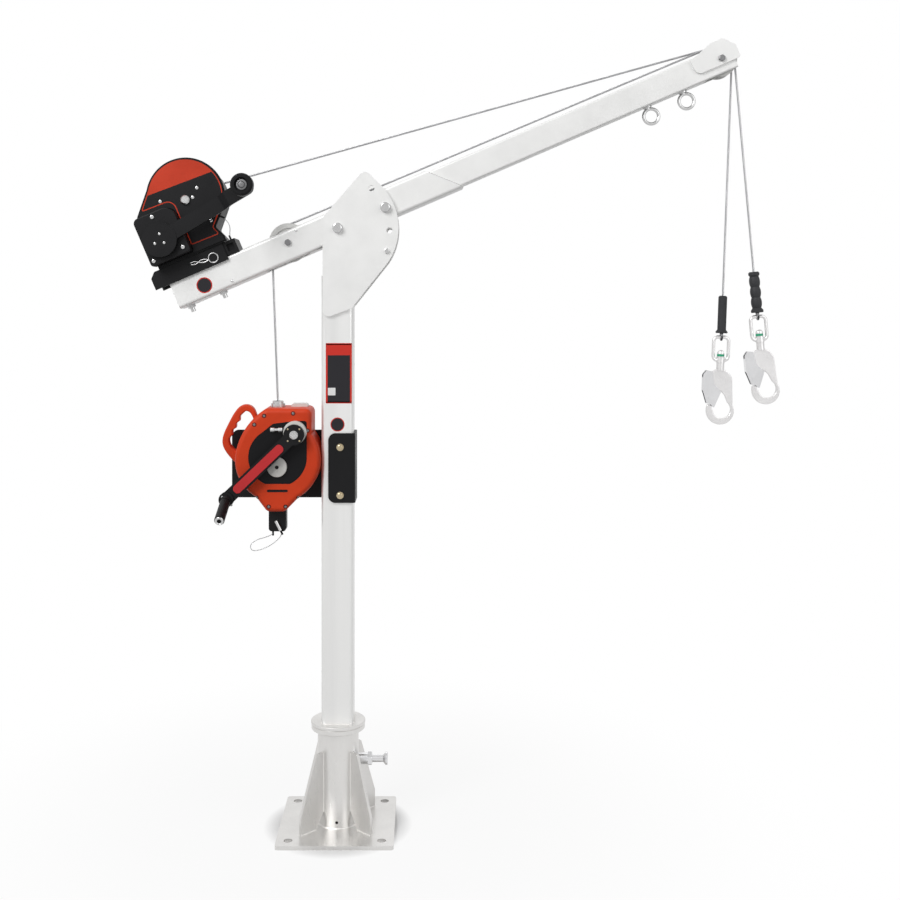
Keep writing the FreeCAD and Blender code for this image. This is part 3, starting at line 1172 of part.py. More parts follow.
def make_lanyards():
    """Thin keeper lanyards of the lug pin and of the winch's hitch pin."""
    corner = point((LUG_LEFT + LUG_RIGHT) / 2, -ROPE_Y - LUG_THICK / 2, LUG_BOTTOM)
    tab_top, tab_end = lug_tab()
    tab_ahead = (tab_end - tab_top).normalize()
    route = [corner + point(*place) for place in LUG_ROUTE] + [tab_end + tab_ahead * LANYARD_LEAD, tab_end]
    save("lug_lanyard", cord_tube(route, LANYARD, "lug_lanyard"))

    turn = math.radians(CASE_RIM_FRONT)
    notch = point(CASE_NOTCH_A, 0, CASE_NOTCH_B)
    rim = point(CASE_ROUND_A + CASE_ROUND * math.cos(turn), 0, CASE_ROUND_B + CASE_ROUND * math.sin(turn))
    middle = (notch + rim) / 2
    flank = (rim - notch).normalize()
    led = middle + point(flank.z, 0, -flank.x) * LANYARD_LEAD
    flank_y = CASE_FRONT + CASE_FLANGE / 2
    stop_a = SADDLE_FRONT + STOP_BLOCK_LENGTH * PIN_STOP_SHARE
    stop_top = BOOM_HALF + STOP_BLOCK_HEIGHT
    route = [boom_place(middle.x, middle.z, flank_y), boom_place(led.x, led.z, flank_y),
             boom_place(middle.x + PIN_BULGE_OUT, middle.z - PIN_BULGE_DROP, PIN_BULGE_Y),
             boom_place(stop_a, stop_top + LANYARD_LEAD, PIN_STOP_Y),
             boom_place(stop_a, stop_top, PIN_STOP_Y)]
    save("pin_lanyard", cord_tube(route, LANYARD, "pin_lanyard"))


def make_ropes():
    """Both taut wire ropes; returns the winch rope's start and the tip sheave's centre."""
    tip = boom_place(TIP_SHEAVE_A, TIP_SHEAVE_B)
    mid = boom_place(MID_SHEAVE_A, MID_SHEAVE_B, -ROPE_Y)
    near_tip = tip + point(0, -ROPE_Y, 0)
    far_tip = tip + point(0, ROPE_Y, 0)

    start = lifeline_exit()
    rise = onto_wheel(start, mid, MID_PITCH)
    run = between_wheels(mid, MID_PITCH, near_tip, TIP_PITCH)
    edges = [line(start, around(mid, MID_PITCH, rise + 90)), arc_about(mid, MID_PITCH, rise + 90, run + 90),
             line(around(mid, MID_PITCH, run + 90), around(near_tip, TIP_PITCH, run + 90)),
             arc_about(near_tip, TIP_PITCH, run + 90, LIFELINE_LEAN)]
    save("lifeline_rope", pipe(edges, ROPE))

    drum = boom_place(DRUM_A, DRUM_B, ROPE_Y)
    run = between_wheels(drum, DRUM_WRAP, far_tip, TIP_PITCH)
    leave = around(drum, DRUM_WRAP, run + 90)
    land = around(far_tip, TIP_PITCH, run + 90)
    ahead = (land - leave).normalize()
    start = leave + ahead * ROPE_PORT_DEPTH
    edges = [line(start, land), arc_about(far_tip, TIP_PITCH, run + 90, WINCH_LEAN)]
    save("winch_rope", pipe(edges, ROPE))
    return start, ahead


def hang(shape, lean, y):
    """Hang a shape drawn down the Z axis from its tip sheave, leaning by an angle towards +X."""
    top = around(boom_place(TIP_SHEAVE_A, TIP_SHEAVE_B, y), TIP_PITCH, lean)
    moved = shape.copy()
    moved.rotate(point(0, 0, 0), Y_AXIS, -lean)
    moved.translate(top)
    return moved


def swivel_link(top):
    """Round-cornered link whose foot carries the swivel pin; top is the depth of its upper edge."""
    bar = LINK_BAR / 2
    bend = LINK_ROUND - bar
    side = LINK_WIDTH / 2 - bar
    upper, lower = -top - bar, -top - LINK_HEIGHT + bar
    link = None
    for x in (-side, side):
        upright_bar = rod(point(x, 0, lower + bend), point(x, 0, upper - bend), LINK_BAR)
        link = upright_bar if link is None else link.fuse(upright_bar)
        centre_x = math.copysign(side - bend, x)
        for depth, sense in ((upper - bend, -1), (lower + bend, 1)):
            section = Part.Face(Part.Wire(Part.makeCircle(bar, point(x, 0, depth), Z_AXIS)))
            sweep = math.copysign(90, sense * x)
            link = link.fuse(section.revolve(point(centre_x, 0, depth), Y_AXIS, sweep))
    for depth in (upper, lower):
        link = link.fuse(rod(point(bend - side, 0, depth), point(side - bend, 0, depth), LINK_BAR))
    foot = -top - LINK_HEIGHT
    link = link.fuse(rod(point(0, 0, foot - BOSS_BELOW), point(0, 0, foot + BOSS_ABOVE), SWIVEL_BOSS))
    bore = rod(point(0, 0, foot - LINK_BAR), point(0, 0, foot + SWIVEL_BOSS), SWIVEL_PIN + 2 * RUN_GAP)
    return link.cut(bore)


def rope_eye(grip_end, bar):
    """Rope loop that comes out of a grip and passes under the link's upper bar."""
    reach = LINK_BAR / 2 + RUN_GAP + ROPE / 2
    near, far = point(0, -reach, 0), point(0, reach, 0)
    loop = Part.Arc(near + point(0, 0, -bar), point(0, 0, -bar - reach), far + point(0, 0, -bar)).toShape()
    edges = [line(near + point(0, 0, -grip_end), near + point(0, 0, -bar)), loop,
             line(far + point(0, 0, -bar), far + point(0, 0, -grip_end))]
    return pipe(edges, ROPE)


def snap_hook(top):
    """Flat forged hook with its swivel stem; top is the depth of the link's foot."""
    seat = -top - BOSS_BELOW - RUN_GAP
    crown = seat - HOOK_NECK
    half = HOOK_THICK / 2
    hook = sheet(HOOK_OUTLINE, -half, half, HOOK_ARCS)
    hook = hook.makeFillet(HOOK_SOFTEN, edges_at(hook, -half) + edges_at(hook, half))
    hook = hook.cut(rod_y(GATE_PIVOT_X, GATE_PIVOT_Z, -HOOK_THICK, HOOK_THICK, GATE_RIVET + 2 * RUN_GAP))
    hook = hook.fuse(rod_y(HOOK_RIVET_X, HOOK_RIVET_Z, -half - RIVET_RISE, half + RIVET_RISE, HOOK_RIVET))
    hook.translate(point(0, 0, crown))
    head = -top + BOSS_ABOVE + RUN_GAP
    dome = head + SWIVEL_HEAD / 2
    hook = hook.fuse(rod(point(0, 0, crown - HOOK_NECK_SUNK), point(0, 0, seat), HOOK_NECK_ROUND))
    hook = hook.fuse(rod(point(0, 0, seat), point(0, 0, head), SWIVEL_PIN))
    hook = hook.fuse(rod(point(0, 0, head), point(0, 0, dome), SWIVEL_HEAD))
    hook = hook.fuse(Part.makeSphere(SWIVEL_HEAD / 2, point(0, 0, dome), Z_AXIS, 0, 90, 360))
    return hook.removeSplitter()


def hook_gate(top):
    """Pressed gate: two cheeks over the hook, a back and a bar that closes the mouth."""
    crown = -top - BOSS_BELOW - RUN_GAP - HOOK_NECK
    inside = HOOK_THICK / 2 + GATE_GAP
    outside = inside + GATE_SHEET
    gate = sheet(GATE_OUTLINE, inside, outside).fuse(sheet(GATE_OUTLINE, -outside, -inside))
    back_front = GATE_BACK_X + GATE_SHEET
    gate = gate.fuse(block(GATE_BACK_X, back_front, -outside, outside, GATE_BACK_FOOT, GATE_BACK_TOP))
    gate = gate.fuse(sheet(GATE_BAR_OUTLINE, -outside, outside))
    for x, z in ((GATE_PIVOT_X, GATE_PIVOT_Z), (GATE_TIE_X, GATE_TIE_Z)):
        gate = gate.fuse(rod_y(x, z, -outside - RIVET_RISE, outside + RIVET_RISE, GATE_RIVET))
    gate.translate(point(0, 0, crown))
    return gate.removeSplitter()


def make_hook_line(prefix, grip_name, grip_profile, grip_arcs, start, lean, y):
    """Falling rope, grip, swivel link, hook and gate of one line."""
    grip_end = start + max(along for along, _ in grip_profile)
    link_top = grip_end + LINK_SEAT
    foot = link_top + LINK_HEIGHT
    save(prefix + "_fall", hang(rod(point(0, 0, 0), point(0, 0, -start), ROPE), lean, y))
    grip = turned(grip_profile, point(0, 0, -start), point(0, 0, -1), grip_arcs)
    grip = grip.fuse(rope_eye(grip_end, link_top + LINK_BAR / 2))
    save(prefix + grip_name, hang(grip, lean, y))
    save(prefix + "_swivel_link", hang(swivel_link(link_top), lean, y))
    save(prefix + "_hook", hang(snap_hook(foot), lean, y))
    save(prefix + "_hook_gate", hang(hook_gate(foot), lean, y))


def make_hook_lines():
    """The winch line's smooth sleeve and the lifeline's ribbed hand grip, with their hooks."""
    body, collar, flare = GRIP_BODY / 2, GRIP_COLLAR / 2, GRIP_FLARE / 2
    ease = GRIP_EASE
    long = WINCH_GRIP_LENGTH
    smooth = [(0, 0), (0, body - ease), (ease, body), (long - GRIP_FLARE_LENGTH - ease, body),
              (long - ease, flare), (long, flare - RIM_EASE), (long, 0)]
    make_hook_line("winch", "_line_sleeve", smooth, None, WINCH_GRIP_START, WINCH_LEAN, ROPE_Y)
    long = LIFELINE_GRIP_LENGTH
    bulge = (long - 2 * GRIP_END) / GRIP_BULGES
    waists = [(GRIP_END + i * bulge, body) for i in range(GRIP_BULGES + 1)]
    ribbed = [(0, 0), (0, collar - ease), (ease, collar), (GRIP_COLLAR_LENGTH, collar), *waists,
              (long - GRIP_FLARE_LENGTH, flare), (long - RIM_EASE, flare), (long, flare - RIM_EASE),
              (long, 0)]
    first = ribbed.index(waists[0])
    waves = {first + i: (GRIP_END + (i + 0.5) * bulge, body + GRIP_BULGE) for i in range(GRIP_BULGES)}
    make_hook_line("lifeline", "_hand_grip", ribbed, waves, LIFELINE_GRIP_START, LIFELINE_LEAN, -ROPE_Y)


os.makedirs("parts", exist_ok=True)
make_base()
make_mast()
make_boom()
winch_rope_start, winch_rope_ahead = make_ropes()
make_saddle()
make_winch(winch_rope_start, winch_rope_ahead)
make_bracket()
make_lifeline()
make_retrieval_crank()
make_lanyards()
make_hook_lines()
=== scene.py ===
"""Looks of a confined-space rescue davit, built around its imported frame.

Sizes are in millimetres in the part's own frame: +Z up the mast, +X under the boom, cranks towards -Y.
Finished pieces are in metres, as the frame is.
"""
import logging
import math
from collections.abc import Iterable, Mapping, Sequence
from dataclasses import dataclass, field
from enum import Enum

import bmesh
import bpy
from mathutils import Matrix, Vector


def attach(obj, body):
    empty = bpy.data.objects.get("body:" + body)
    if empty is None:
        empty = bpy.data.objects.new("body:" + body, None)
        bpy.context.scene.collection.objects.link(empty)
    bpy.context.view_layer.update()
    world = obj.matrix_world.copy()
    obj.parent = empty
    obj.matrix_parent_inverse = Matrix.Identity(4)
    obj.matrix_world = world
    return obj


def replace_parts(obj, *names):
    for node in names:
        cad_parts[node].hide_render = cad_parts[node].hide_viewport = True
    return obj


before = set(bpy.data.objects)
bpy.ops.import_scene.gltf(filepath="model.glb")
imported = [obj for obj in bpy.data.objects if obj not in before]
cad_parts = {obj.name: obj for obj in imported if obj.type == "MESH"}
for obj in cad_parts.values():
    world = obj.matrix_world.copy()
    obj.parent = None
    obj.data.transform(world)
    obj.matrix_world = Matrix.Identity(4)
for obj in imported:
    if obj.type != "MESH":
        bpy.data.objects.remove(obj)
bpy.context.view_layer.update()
LOG = logging.getLogger("davit")

Pair = tuple[float, float]
Triple = tuple[float, float, float]
Places = tuple[Pair, ...]

MM = 0.001
QUARTER_TURN = math.radians(90.0)
# A place on the boom is its length along the boom and its height square to it, from the pivot.
BOOM_PIVOT = Vector((0.0, 0.0, 1528.6))
BOOM_ANGLE = math.radians(23.25)
TIP_SHEAVE = (1057.5, 3.0)
TIP_PITCH = 38.5
MID_SHEAVE = (-132.0, 8.0)
MID_PITCH = 43.0
# The strands are drawn a little thicker than the rope, because the gaps between them make it look thin.
ROPE = 5.0
DRAWN_ROPE = 1.1 * ROPE
DRAWN_EYE = 1.2 * ROPE
ROPE_Y = 13.0
# A fall leans from the upright by this angle, outwards at its foot where it is positive.
WINCH_LEAN = math.radians(-2.166)
LIFELINE_LEAN = math.radians(5.17)
# The winch face's round side has its centre here on the boom and ends at this angle, in degrees.
WINCH_FACE = (-322.0, 213.0)
WINCH_FACE_END = -35.4
LABEL_SHEET = 0.35


def boom_point(a: float, b: float, y: float = 0.0) -> Vector:
    """Place of a point on the boom.

    Args:
        a: Length along the boom from the mast's axis.
        b: Height square to the boom.
        y: Depth.

    Returns:
        The point in the part's frame.
    """
    along = Vector((math.cos(BOOM_ANGLE), 0.0, math.sin(BOOM_ANGLE)))
    above = Vector((-math.sin(BOOM_ANGLE), 0.0, math.cos(BOOM_ANGLE)))
    return BOOM_PIVOT + along * a + above * b + Vector((0.0, y, 0.0))


def front(x: float, z: float, y: float) -> Matrix:
    """Placement on a surface that faces the viewer: drawn Y goes up and drawn Z comes out."""
    return Matrix.Translation((x, y, z)) @ Matrix.Rotation(QUARTER_TURN, 4, "X")


def boom_front(a: float, b: float, y: float) -> Matrix:
    """Placement on a surface of the boom that faces the viewer: drawn X goes along the boom."""
    turn = Matrix.Rotation(-BOOM_ANGLE, 4, "Y") @ Matrix.Rotation(QUARTER_TURN, 4, "X")
    return Matrix.Translation(boom_point(a, b, y)) @ turn


def aimed(place: Vector, ahead: Vector) -> Matrix:
    """Placement of a piece drawn up the Z axis, at a place and along a direction."""
    return Matrix.Translation(place) @ ahead.to_track_quat("Z", "Y").to_matrix().to_4x4()


def around(centre: Vector, radius: float, angle: float) -> Vector:
    """Point on a wheel that turns about Y, at an angle in radians from +X towards +Z."""
    return centre + Vector((math.cos(angle), 0.0, math.sin(angle))) * radius


def link(name: str, data: bpy.types.ID) -> bpy.types.Object:
    """Put an object with some data in the scene.

    Args:
        name: The object's name.
        data: Its mesh, curve, lamp or camera.

    Returns:
        The object.
    """
    made = bpy.data.objects.new(name, data)
    bpy.context.scene.collection.objects.link(made)
    return made


def feed(node: bpy.types.Node, inputs: Mapping[str | int, object]) -> bpy.types.Node:
    """Set inputs of a node.

    Args:
        node: The node.
        inputs: A value, or the socket that drives it, for each input by name or number.

    Returns:
        The node itself.
    """
    for name, source in inputs.items():
        if isinstance(source, bpy.types.NodeSocket):
            node.id_data.links.new(source, node.inputs[name])
        else:
            node.inputs[name].default_value = source
    return node


def add_node(tree: bpy.types.NodeTree, kind: str, inputs: Mapping[str | int, object],
             **settings: str) -> bpy.types.Node:
    """Add a shader node to a tree.

    Args:
        tree: The tree.
        kind: The node's type, without the words that all shader nodes start with.
        inputs: A value, or the socket that drives it, for each input by name or number.
        settings: The node's own settings.

    Returns:
        The node.
    """
    node = tree.nodes.new("ShaderNode" + kind)
    for name, value in settings.items():
        setattr(node, name, value)
    return feed(node, inputs)


class Grain(Enum):
    """Surface detail of a finish, by how the real one is made."""

    BRUSHED = "brushed"
    PEEL = "peel"
    MOULDED = "moulded"
    PLATED = "plated"
    RUBBER = "rubber"


FINE_DETAIL = 4.0
PATCH_NOISE = {"Scale": 14.0, "Detail": 5.0, "Roughness": 0.6}
PATCH_SPAN = {"From Min": 0.3, "From Max": 0.62}
GLOSS_SPAN = {"From Min": 0.3, "From Max": 0.7}
GLOSS_SWING = (0.82, 1.2)
RELIEF_DEPTH = 0.001


@dataclass(frozen=True)
class Finish:
    """One finish: its colour, its gloss and the grain that breaks them up."""

    name: str
    colour: Triple
    metallic: float = 0.0
    roughness: float = 0.4
    grain: Grain = Grain.PEEL
    scale: float = 900.0
    bump: float = 0.05
    stretch: Triple = (1.0, 1.0, 1.0)
    patch: float = 0.06
    specular: float = 0.5

    def material(self) -> bpy.types.Material:
        """Build the node material once and give it back on later calls.

        Returns:
            The finish's material.
        """
        found = bpy.data.materials.get(self.name)
        if found is not None:
            return found
        made = bpy.data.materials.new(self.name)
        made.use_nodes = True
        self._wire(made.node_tree)
        return made

    def _wire(self, tree: bpy.types.NodeTree) -> None:
        """Lay out the nodes of the finish.

        Args:
            tree: The material's node tree.
        """
        place = add_node(tree, "TexCoord", {}).outputs["Object"]
        drawn_out = add_node(tree, "Mapping", {"Vector": place, "Scale": self.stretch}).outputs["Vector"]
        fine = add_node(tree, "TexNoise", {
            "Vector": drawn_out, "Scale": self.scale, "Detail": FINE_DETAIL}).outputs["Fac"]
        broad = add_node(tree, "TexNoise", {
            "Vector": drawn_out if self.grain is Grain.BRUSHED else place, **PATCH_NOISE}).outputs["Fac"]
        spread = add_node(tree, "MapRange", {"Value": broad, **PATCH_SPAN}).outputs["Result"]
        dark = tuple(channel * (1.0 - 2.0 * self.patch) for channel in self.colour)
        tone = add_node(tree, "Mix", {
            "Factor": spread, "A": (*dark, 1.0), "B": (*self.colour, 1.0)}, data_type="RGBA")
        low, high = (self.roughness * swing for swing in GLOSS_SWING)
        gloss = add_node(tree, "MapRange", {
            "Value": fine if self.grain in (Grain.BRUSHED, Grain.PLATED) else broad, **GLOSS_SPAN,
            "To Min": low, "To Max": min(1.0, high)})
        relief = add_node(tree, "Bump", {"Height": fine, "Strength": self.bump, "Distance": RELIEF_DEPTH})
        feed(tree.nodes["Principled BSDF"], {
            "Metallic": self.metallic, "Specular IOR Level": self.specular,
            "Base Color": tone.outputs["Result"], "Roughness": gloss.outputs["Result"],
            "Normal": relief.outputs["Normal"]})


STAINLESS = Finish("stainless_satin", (0.74, 0.73, 0.715), 0.9, 0.33, Grain.BRUSHED, 700.0, 0.02,
                   (1.0, 1.0, 0.06), 0.04)
WELD = Finish("weld_bead", (0.8, 0.785, 0.765), 0.8, 0.36, Grain.PLATED, 1200.0, 0.1)
TUBE = Finish("satin_tube_coat", (0.9, 0.9, 0.89), 0.5, 0.34, Grain.BRUSHED, 500.0, 0.003, (1.0, 1.0, 0.03))
BOOM_COAT = Finish("boom_coat", (0.94, 0.94, 0.93), 0.15, 0.36, Grain.PEEL, 500.0, 0.006, patch=0.02)
FASTENER = Finish("plated_fastener", (0.58, 0.58, 0.58), 1.0, 0.26, Grain.PLATED, 900.0, 0.05)
YELLOW_ZINC = Finish("zinc_passivate", (0.5, 0.42, 0.28), 1.0, 0.3, Grain.PLATED, 700.0, 0.06)
BLACK_COAT = Finish("black_powder_coat", (0.009, 0.009, 0.01), 0.0, 0.44, Grain.PEEL, 1400.0, 0.12,
                    specular=0.16)
DARK_STEEL = Finish("dark_steel", (0.22, 0.22, 0.225), 1.0, 0.34, Grain.PLATED, 900.0, 0.06)
BLACK_MOULDING = Finish("moulded_black", (0.006, 0.006, 0.007), 0.0, 0.44, Grain.MOULDED, 1800.0, 0.08,
                        specular=0.14)
RED_MOULDING = Finish("moulded_red", (0.68, 0.055, 0.014), 0.0, 0.44, Grain.MOULDED, 1600.0, 0.1,
                      patch=0.05, specular=0.2)
# The casing's red, darkened as painted shade of the recess round each case screw.
POCKET_SHADE_RED = Finish("pocket_painted_shade", (0.14, 0.01, 0.004), 0.0, 0.5, Grain.MOULDED, 1600.0, 0.1, specular=0.2)
STRIP_RED = Finish("strip_red", (0.58, 0.03, 0.035), 0.0, 0.36, Grain.PEEL, 1200.0, 0.04, specular=0.3)
PALE_MOULDING = Finish("moulded_pale", (0.7, 0.69, 0.66), 0.0, 0.42, Grain.MOULDED, 1600.0, 0.06)
RUBBER = Finish("grip_rubber", (0.018, 0.019, 0.022), 0.0, 0.62, Grain.RUBBER, 2200.0, 0.25)
SHEAVE = Finish("sheave_moulding", (0.86, 0.86, 0.84), 0.0, 0.4, Grain.MOULDED, 1600.0, 0.05)
WIRE = Finish("wire_strand", (0.44, 0.44, 0.45), 1.0, 0.32, Grain.PLATED, 1500.0, 0.1)
HOOK_PLATE = Finish("hook_plating", (0.78, 0.77, 0.77), 0.85, 0.3, Grain.PLATED, 900.0, 0.04)
GATE_PLATE = Finish("gate_plating", (0.74, 0.74, 0.75), 1.0, 0.2, Grain.PLATED, 900.0, 0.03)
WINCH_RED = Finish("winch_face_red", (0.6, 0.045, 0.014), 0.0, 0.36, Grain.PEEL, 1200.0, 0.03, specular=0.25)
LABEL_RED = Finish("label_red", (0.66, 0.02, 0.008), 0.0, 0.4, Grain.PEEL, 1500.0, 0.02, patch=0.02)
LABEL_DARK = Finish("label_dark", (0.022, 0.021, 0.025), 0.0, 0.42, Grain.PEEL, 1500.0, 0.02, patch=0.04,
                    specular=0.2)
LABEL_WHITE = Finish("label_white", (0.85, 0.85, 0.85), 0.0, 0.45, Grain.PEEL, 1500.0, 0.02, patch=0.02)
MARK_GREEN = Finish("mark_green", (0.03, 0.42, 0.22), 0.0, 0.4, Grain.PEEL, 1500.0, 0.03)


@dataclass(frozen=True)
class Dressing:
    """A finish and the frame's pieces that carry it."""

    finish: Finish
    nodes: tuple[str, ...]

    def apply(self) -> None:
        """Put the finish on each piece that the frame shows."""
        for name in self.nodes:
            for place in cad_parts[name].material_slots:
                place.material = self.finish.material()
            LOG.info("%s: %s", name, self.finish.name)


DRESSINGS = (
    Dressing(STAINLESS, ("base_plate", "base_sleeve", "sleeve_flange", "base_gussets", "mast_spigot",
                         "mast_collar")),
    Dressing(TUBE, ("mast_tube",)),
    Dressing(BOOM_COAT, ("mast_head_plates", "boom_outer_tube", "boom_inner_tube", "tip_cheeks")),
    Dressing(FASTENER, ("head_bolts", "head_washers", "eye_bolts", "winch_saddle_bolts", "winch_shaft_bolt",
                        "winch_hitch_pin", "lifeline_face_fittings", "lifeline_nozzle", "lug_pin")),
    Dressing(YELLOW_ZINC, ("bracket_bolts",)),
    Dressing(BLACK_COAT, ("winch_saddle", "winch_stop_block", "winch_housing", "winch_gearbox_cover",
                          "winch_face_plate", "winch_crank_arm", "lifeline_bracket", "lifeline_lug",
                          "lifeline_crank_arm")),
    Dressing(BLACK_MOULDING, ("winch_crank_grip", "lifeline_crank_grip", "lifeline_face",
                              "lifeline_gear_housing")),
    Dressing(RED_MOULDING, ("lifeline_housing", "lifeline_handle")),
    Dressing(STRIP_RED, ("lifeline_crank_strip",)),
    Dressing(PALE_MOULDING, ("lifeline_top_cover",)),
    Dressing(SHEAVE, ("winch_tip_sheave", "lifeline_tip_sheave", "lifeline_mid_sheave")),
    Dressing(DARK_STEEL, ("sheave_axles",)),
    Dressing(RUBBER, ("winch_line_sleeve", "lifeline_hand_grip")),
    Dressing(HOOK_PLATE, ("winch_swivel_link", "winch_hook", "lifeline_swivel_link", "lifeline_hook")),
    Dressing(GATE_PLATE, ("winch_hook_gate", "lifeline_hook_gate", "plunger_body", "plunger_knob")),
)


ORIGIN = (0.0, 0.0, 0.0)
UP = (0.0, 0.0, 1.0)
# Facets of a turned shape, of a disc, along a field's round side and at each rounded corner.
TURN_STEPS = 28
DISC_STEPS = 48
RIM_STEPS = 60
CORNER_STEPS = 5
FIELD_CORNER_STEPS = 6
MERGE_WITHIN = 0.001
SHARP_FROM = math.radians(35.0)
ORDER_DIGITS = 6


def settle(drawn: bmesh.types.BMesh) -> None:
    """Put a mesh's corners and faces, which the operators leave in any order, in the same one on each run.

    Args:
        drawn: The mesh, in metres.
    """
    def order(place: Vector) -> Triple:
        """Place that sorts corners and faces, without rounding errors."""
        return tuple(round(value, ORDER_DIGITS) for value in place)

    corners = sorted(drawn.verts, key=lambda corner: order(corner.co))
    faces = sorted(drawn.faces, key=lambda face: order(face.calc_center_median()))
    drawn.verts.sort(key={corner: rank for rank, corner in enumerate(corners)}.get)
    drawn.faces.sort(key={face: rank for rank, face in enumerate(faces)}.get)


@dataclass
class Shape:
    """A mesh being drawn in millimetres, before it is placed as a finished piece."""

    mesh: bmesh.types.BMesh = field(default_factory=bmesh.new)

    def turned(self, profile: Sequence[Pair], steps: int = TURN_STEPS) -> "Shape":
        """Spin a profile about the Z axis.

        Args:
            profile: Radius and height of each of its points.
            steps: Number of facets round the axis.

        Returns:
            The shape itself.
        """
        corners = [self.mesh.verts.new((radius, 0.0, height)) for radius, height in profile]
        edges = [self.mesh.edges.new(pair) for pair in zip(corners, corners[1:])]
        bmesh.ops.spin(self.mesh, geom=corners + edges, cent=ORIGIN, axis=UP, angle=math.tau, steps=steps,
                       use_merge=True)
        bmesh.ops.remove_doubles(self.mesh, verts=self.mesh.verts[:], dist=MERGE_WITHIN)
        return self

    def ring(self, bore: float, radius: float, height: float, ease: float,
             steps: int = TURN_STEPS) -> "Shape":
        """Draw a ring about the Z axis, eased at its outer edges.

        Args:
            bore: The radius of its bore.
            radius: Its outer radius.
            height: Its height.
            ease: The width of the eased edges.
            steps: Number of facets round the axis.

        Returns:
            The shape itself.
        """
        return self.turned([(bore, 0.0), (radius - ease, 0.0), (radius, ease), (radius, height - ease),
                            (radius - ease, height), (bore, height)], steps)

    def disc(self, radius: float) -> "Shape":
        """Draw a flat disc about the Z axis."""
        bmesh.ops.create_circle(self.mesh, cap_ends=True, segments=DISC_STEPS, radius=radius)
        return self

    def panel(self, width: float, height: float, corner: float) -> "Shape":
        """Draw a flat panel with rounded corners.

        Args:
            width: Its size along X.
            height: Its size along Y.
            corner: The radius of its corners.

        Returns:
            The shape itself.
        """
        corners = bmesh.ops.create_grid(self.mesh, x_segments=1, y_segments=1, size=0.5)["verts"]
        bmesh.ops.scale(self.mesh, vec=(width, height, 1.0), verts=corners)
        self._round(corners, corner, CORNER_STEPS)
        return self

    def outline(self, rim: Triple, angles: Pair, corners: Sequence[Triple]) -> "Shape":
        """Draw a flat field with one round side and rounded corners.

        Args:
            rim: The round side's centre and radius.
            angles: The angles where it starts and stops, in degrees.
            corners: Place and rounding of each of the other corners, from the round side's end on.

        Returns:
            The shape itself.
        """
        centre, start, stop = Vector((rim[0], rim[1], 0.0)), *map(math.radians, angles)
        first = self.mesh.verts.new(centre + Vector((math.cos(start), math.sin(start), 0.0)) * rim[2])
        last = bmesh.ops.spin(self.mesh, geom=[first], cent=centre, axis=UP, angle=stop - start,
                              steps=RIM_STEPS)["geom_last"][0]
        placed = [self.mesh.verts.new((x, y, 0.0)) for x, y, _ in corners]
        for pair in zip((last, *placed), (*placed, first)):
            self.mesh.edges.new(pair)
        bmesh.ops.contextual_create(self.mesh, geom=self.mesh.edges[:])
        for corner, (_, _, radius) in zip(placed, corners):
            self._round([corner], radius, FIELD_CORNER_STEPS)
        return self

    def _round(self, corners: list[bmesh.types.BMVert], radius: float, steps: int) -> None:
        """Round corners of a flat shape, with a number of steps each."""
        bmesh.ops.bevel(self.mesh, geom=corners, offset=radius, affect="VERTICES", segments=steps,
                        profile=0.5, material=-1)

    def banded(self, core: list[bmesh.types.BMFace], bands: Sequence[tuple[float, int]],
               inside: int) -> "Shape":
        """Inset faces by bands of colour.

        Args:
            core: The faces, which shrink to the innermost field.
            bands: Width and finish of each band, from the edge inwards.
            inside: The finish of the innermost field.

        Returns:
            The shape itself.
        """
        for width, finish in bands:
            ring = bmesh.ops.inset_region(self.mesh, faces=core, thickness=width, use_boundary=True,
                                          use_even_offset=True)["faces"]
            for face in ring:
                face.material_index = finish
        for face in core:
            face.material_index = inside
        return self

    def divided(self, place: Vector, normal: Vector, old: int, new: int) -> "Shape":
        """Cut the fields of one finish along a plane and give the far side another.

        Args:
            place: A point on the plane.
            normal: The way to the far side.
            old: The finish of the fields that are cut.
            new: The finish of their far side.

        Returns:
            The shape itself.
        """
        faces = [face for face in self.mesh.faces if face.material_index == old]
        edges = {edge for face in faces for edge in face.edges}
        corners = {corner for face in faces for corner in face.verts}
        bmesh.ops.bisect_plane(self.mesh, geom=[*corners, *edges, *faces], plane_co=place, plane_no=normal)
        for face in self.mesh.faces:
            if face.material_index == old and (face.calc_center_median() - place).dot(normal) > 0.0:
                face.material_index = new
        return self

    def raised(self, height: float) -> list[bmesh.types.BMFace]:
        """Extrude the shape's faces along Z.

        Args:
            height: How far they move.

        Returns:
            The faces at their new place.
        """
        faces = self.mesh.faces[:]
        made = bmesh.ops.extrude_face_region(self.mesh, geom=faces)["geom"]
        bmesh.ops.translate(self.mesh, vec=(0.0, 0.0, height),
                            verts=[item for item in made if isinstance(item, bmesh.types.BMVert)])
        bmesh.ops.delete(self.mesh, geom=faces, context="FACES_ONLY")
        return [item for item in made if isinstance(item, bmesh.types.BMFace)]

    def placed(self, *places: Matrix) -> "Shape":
        """Put the shape, and a copy of it, at each place.

        Args:
            places: One placement for each copy.

        Returns:
            The shape itself.
        """
        pattern = [*self.mesh.verts, *self.mesh.edges, *self.mesh.faces]
        groups = [self.mesh.verts[:]]
        for _ in places[1:]:
            copy = bmesh.ops.duplicate(self.mesh, geom=pattern)["geom"]
            groups.append([item for item in copy if isinstance(item, bmesh.types.BMVert)])
        for corners, place in zip(groups, places):
            bmesh.ops.transform(self.mesh, matrix=place, verts=corners)
        return self


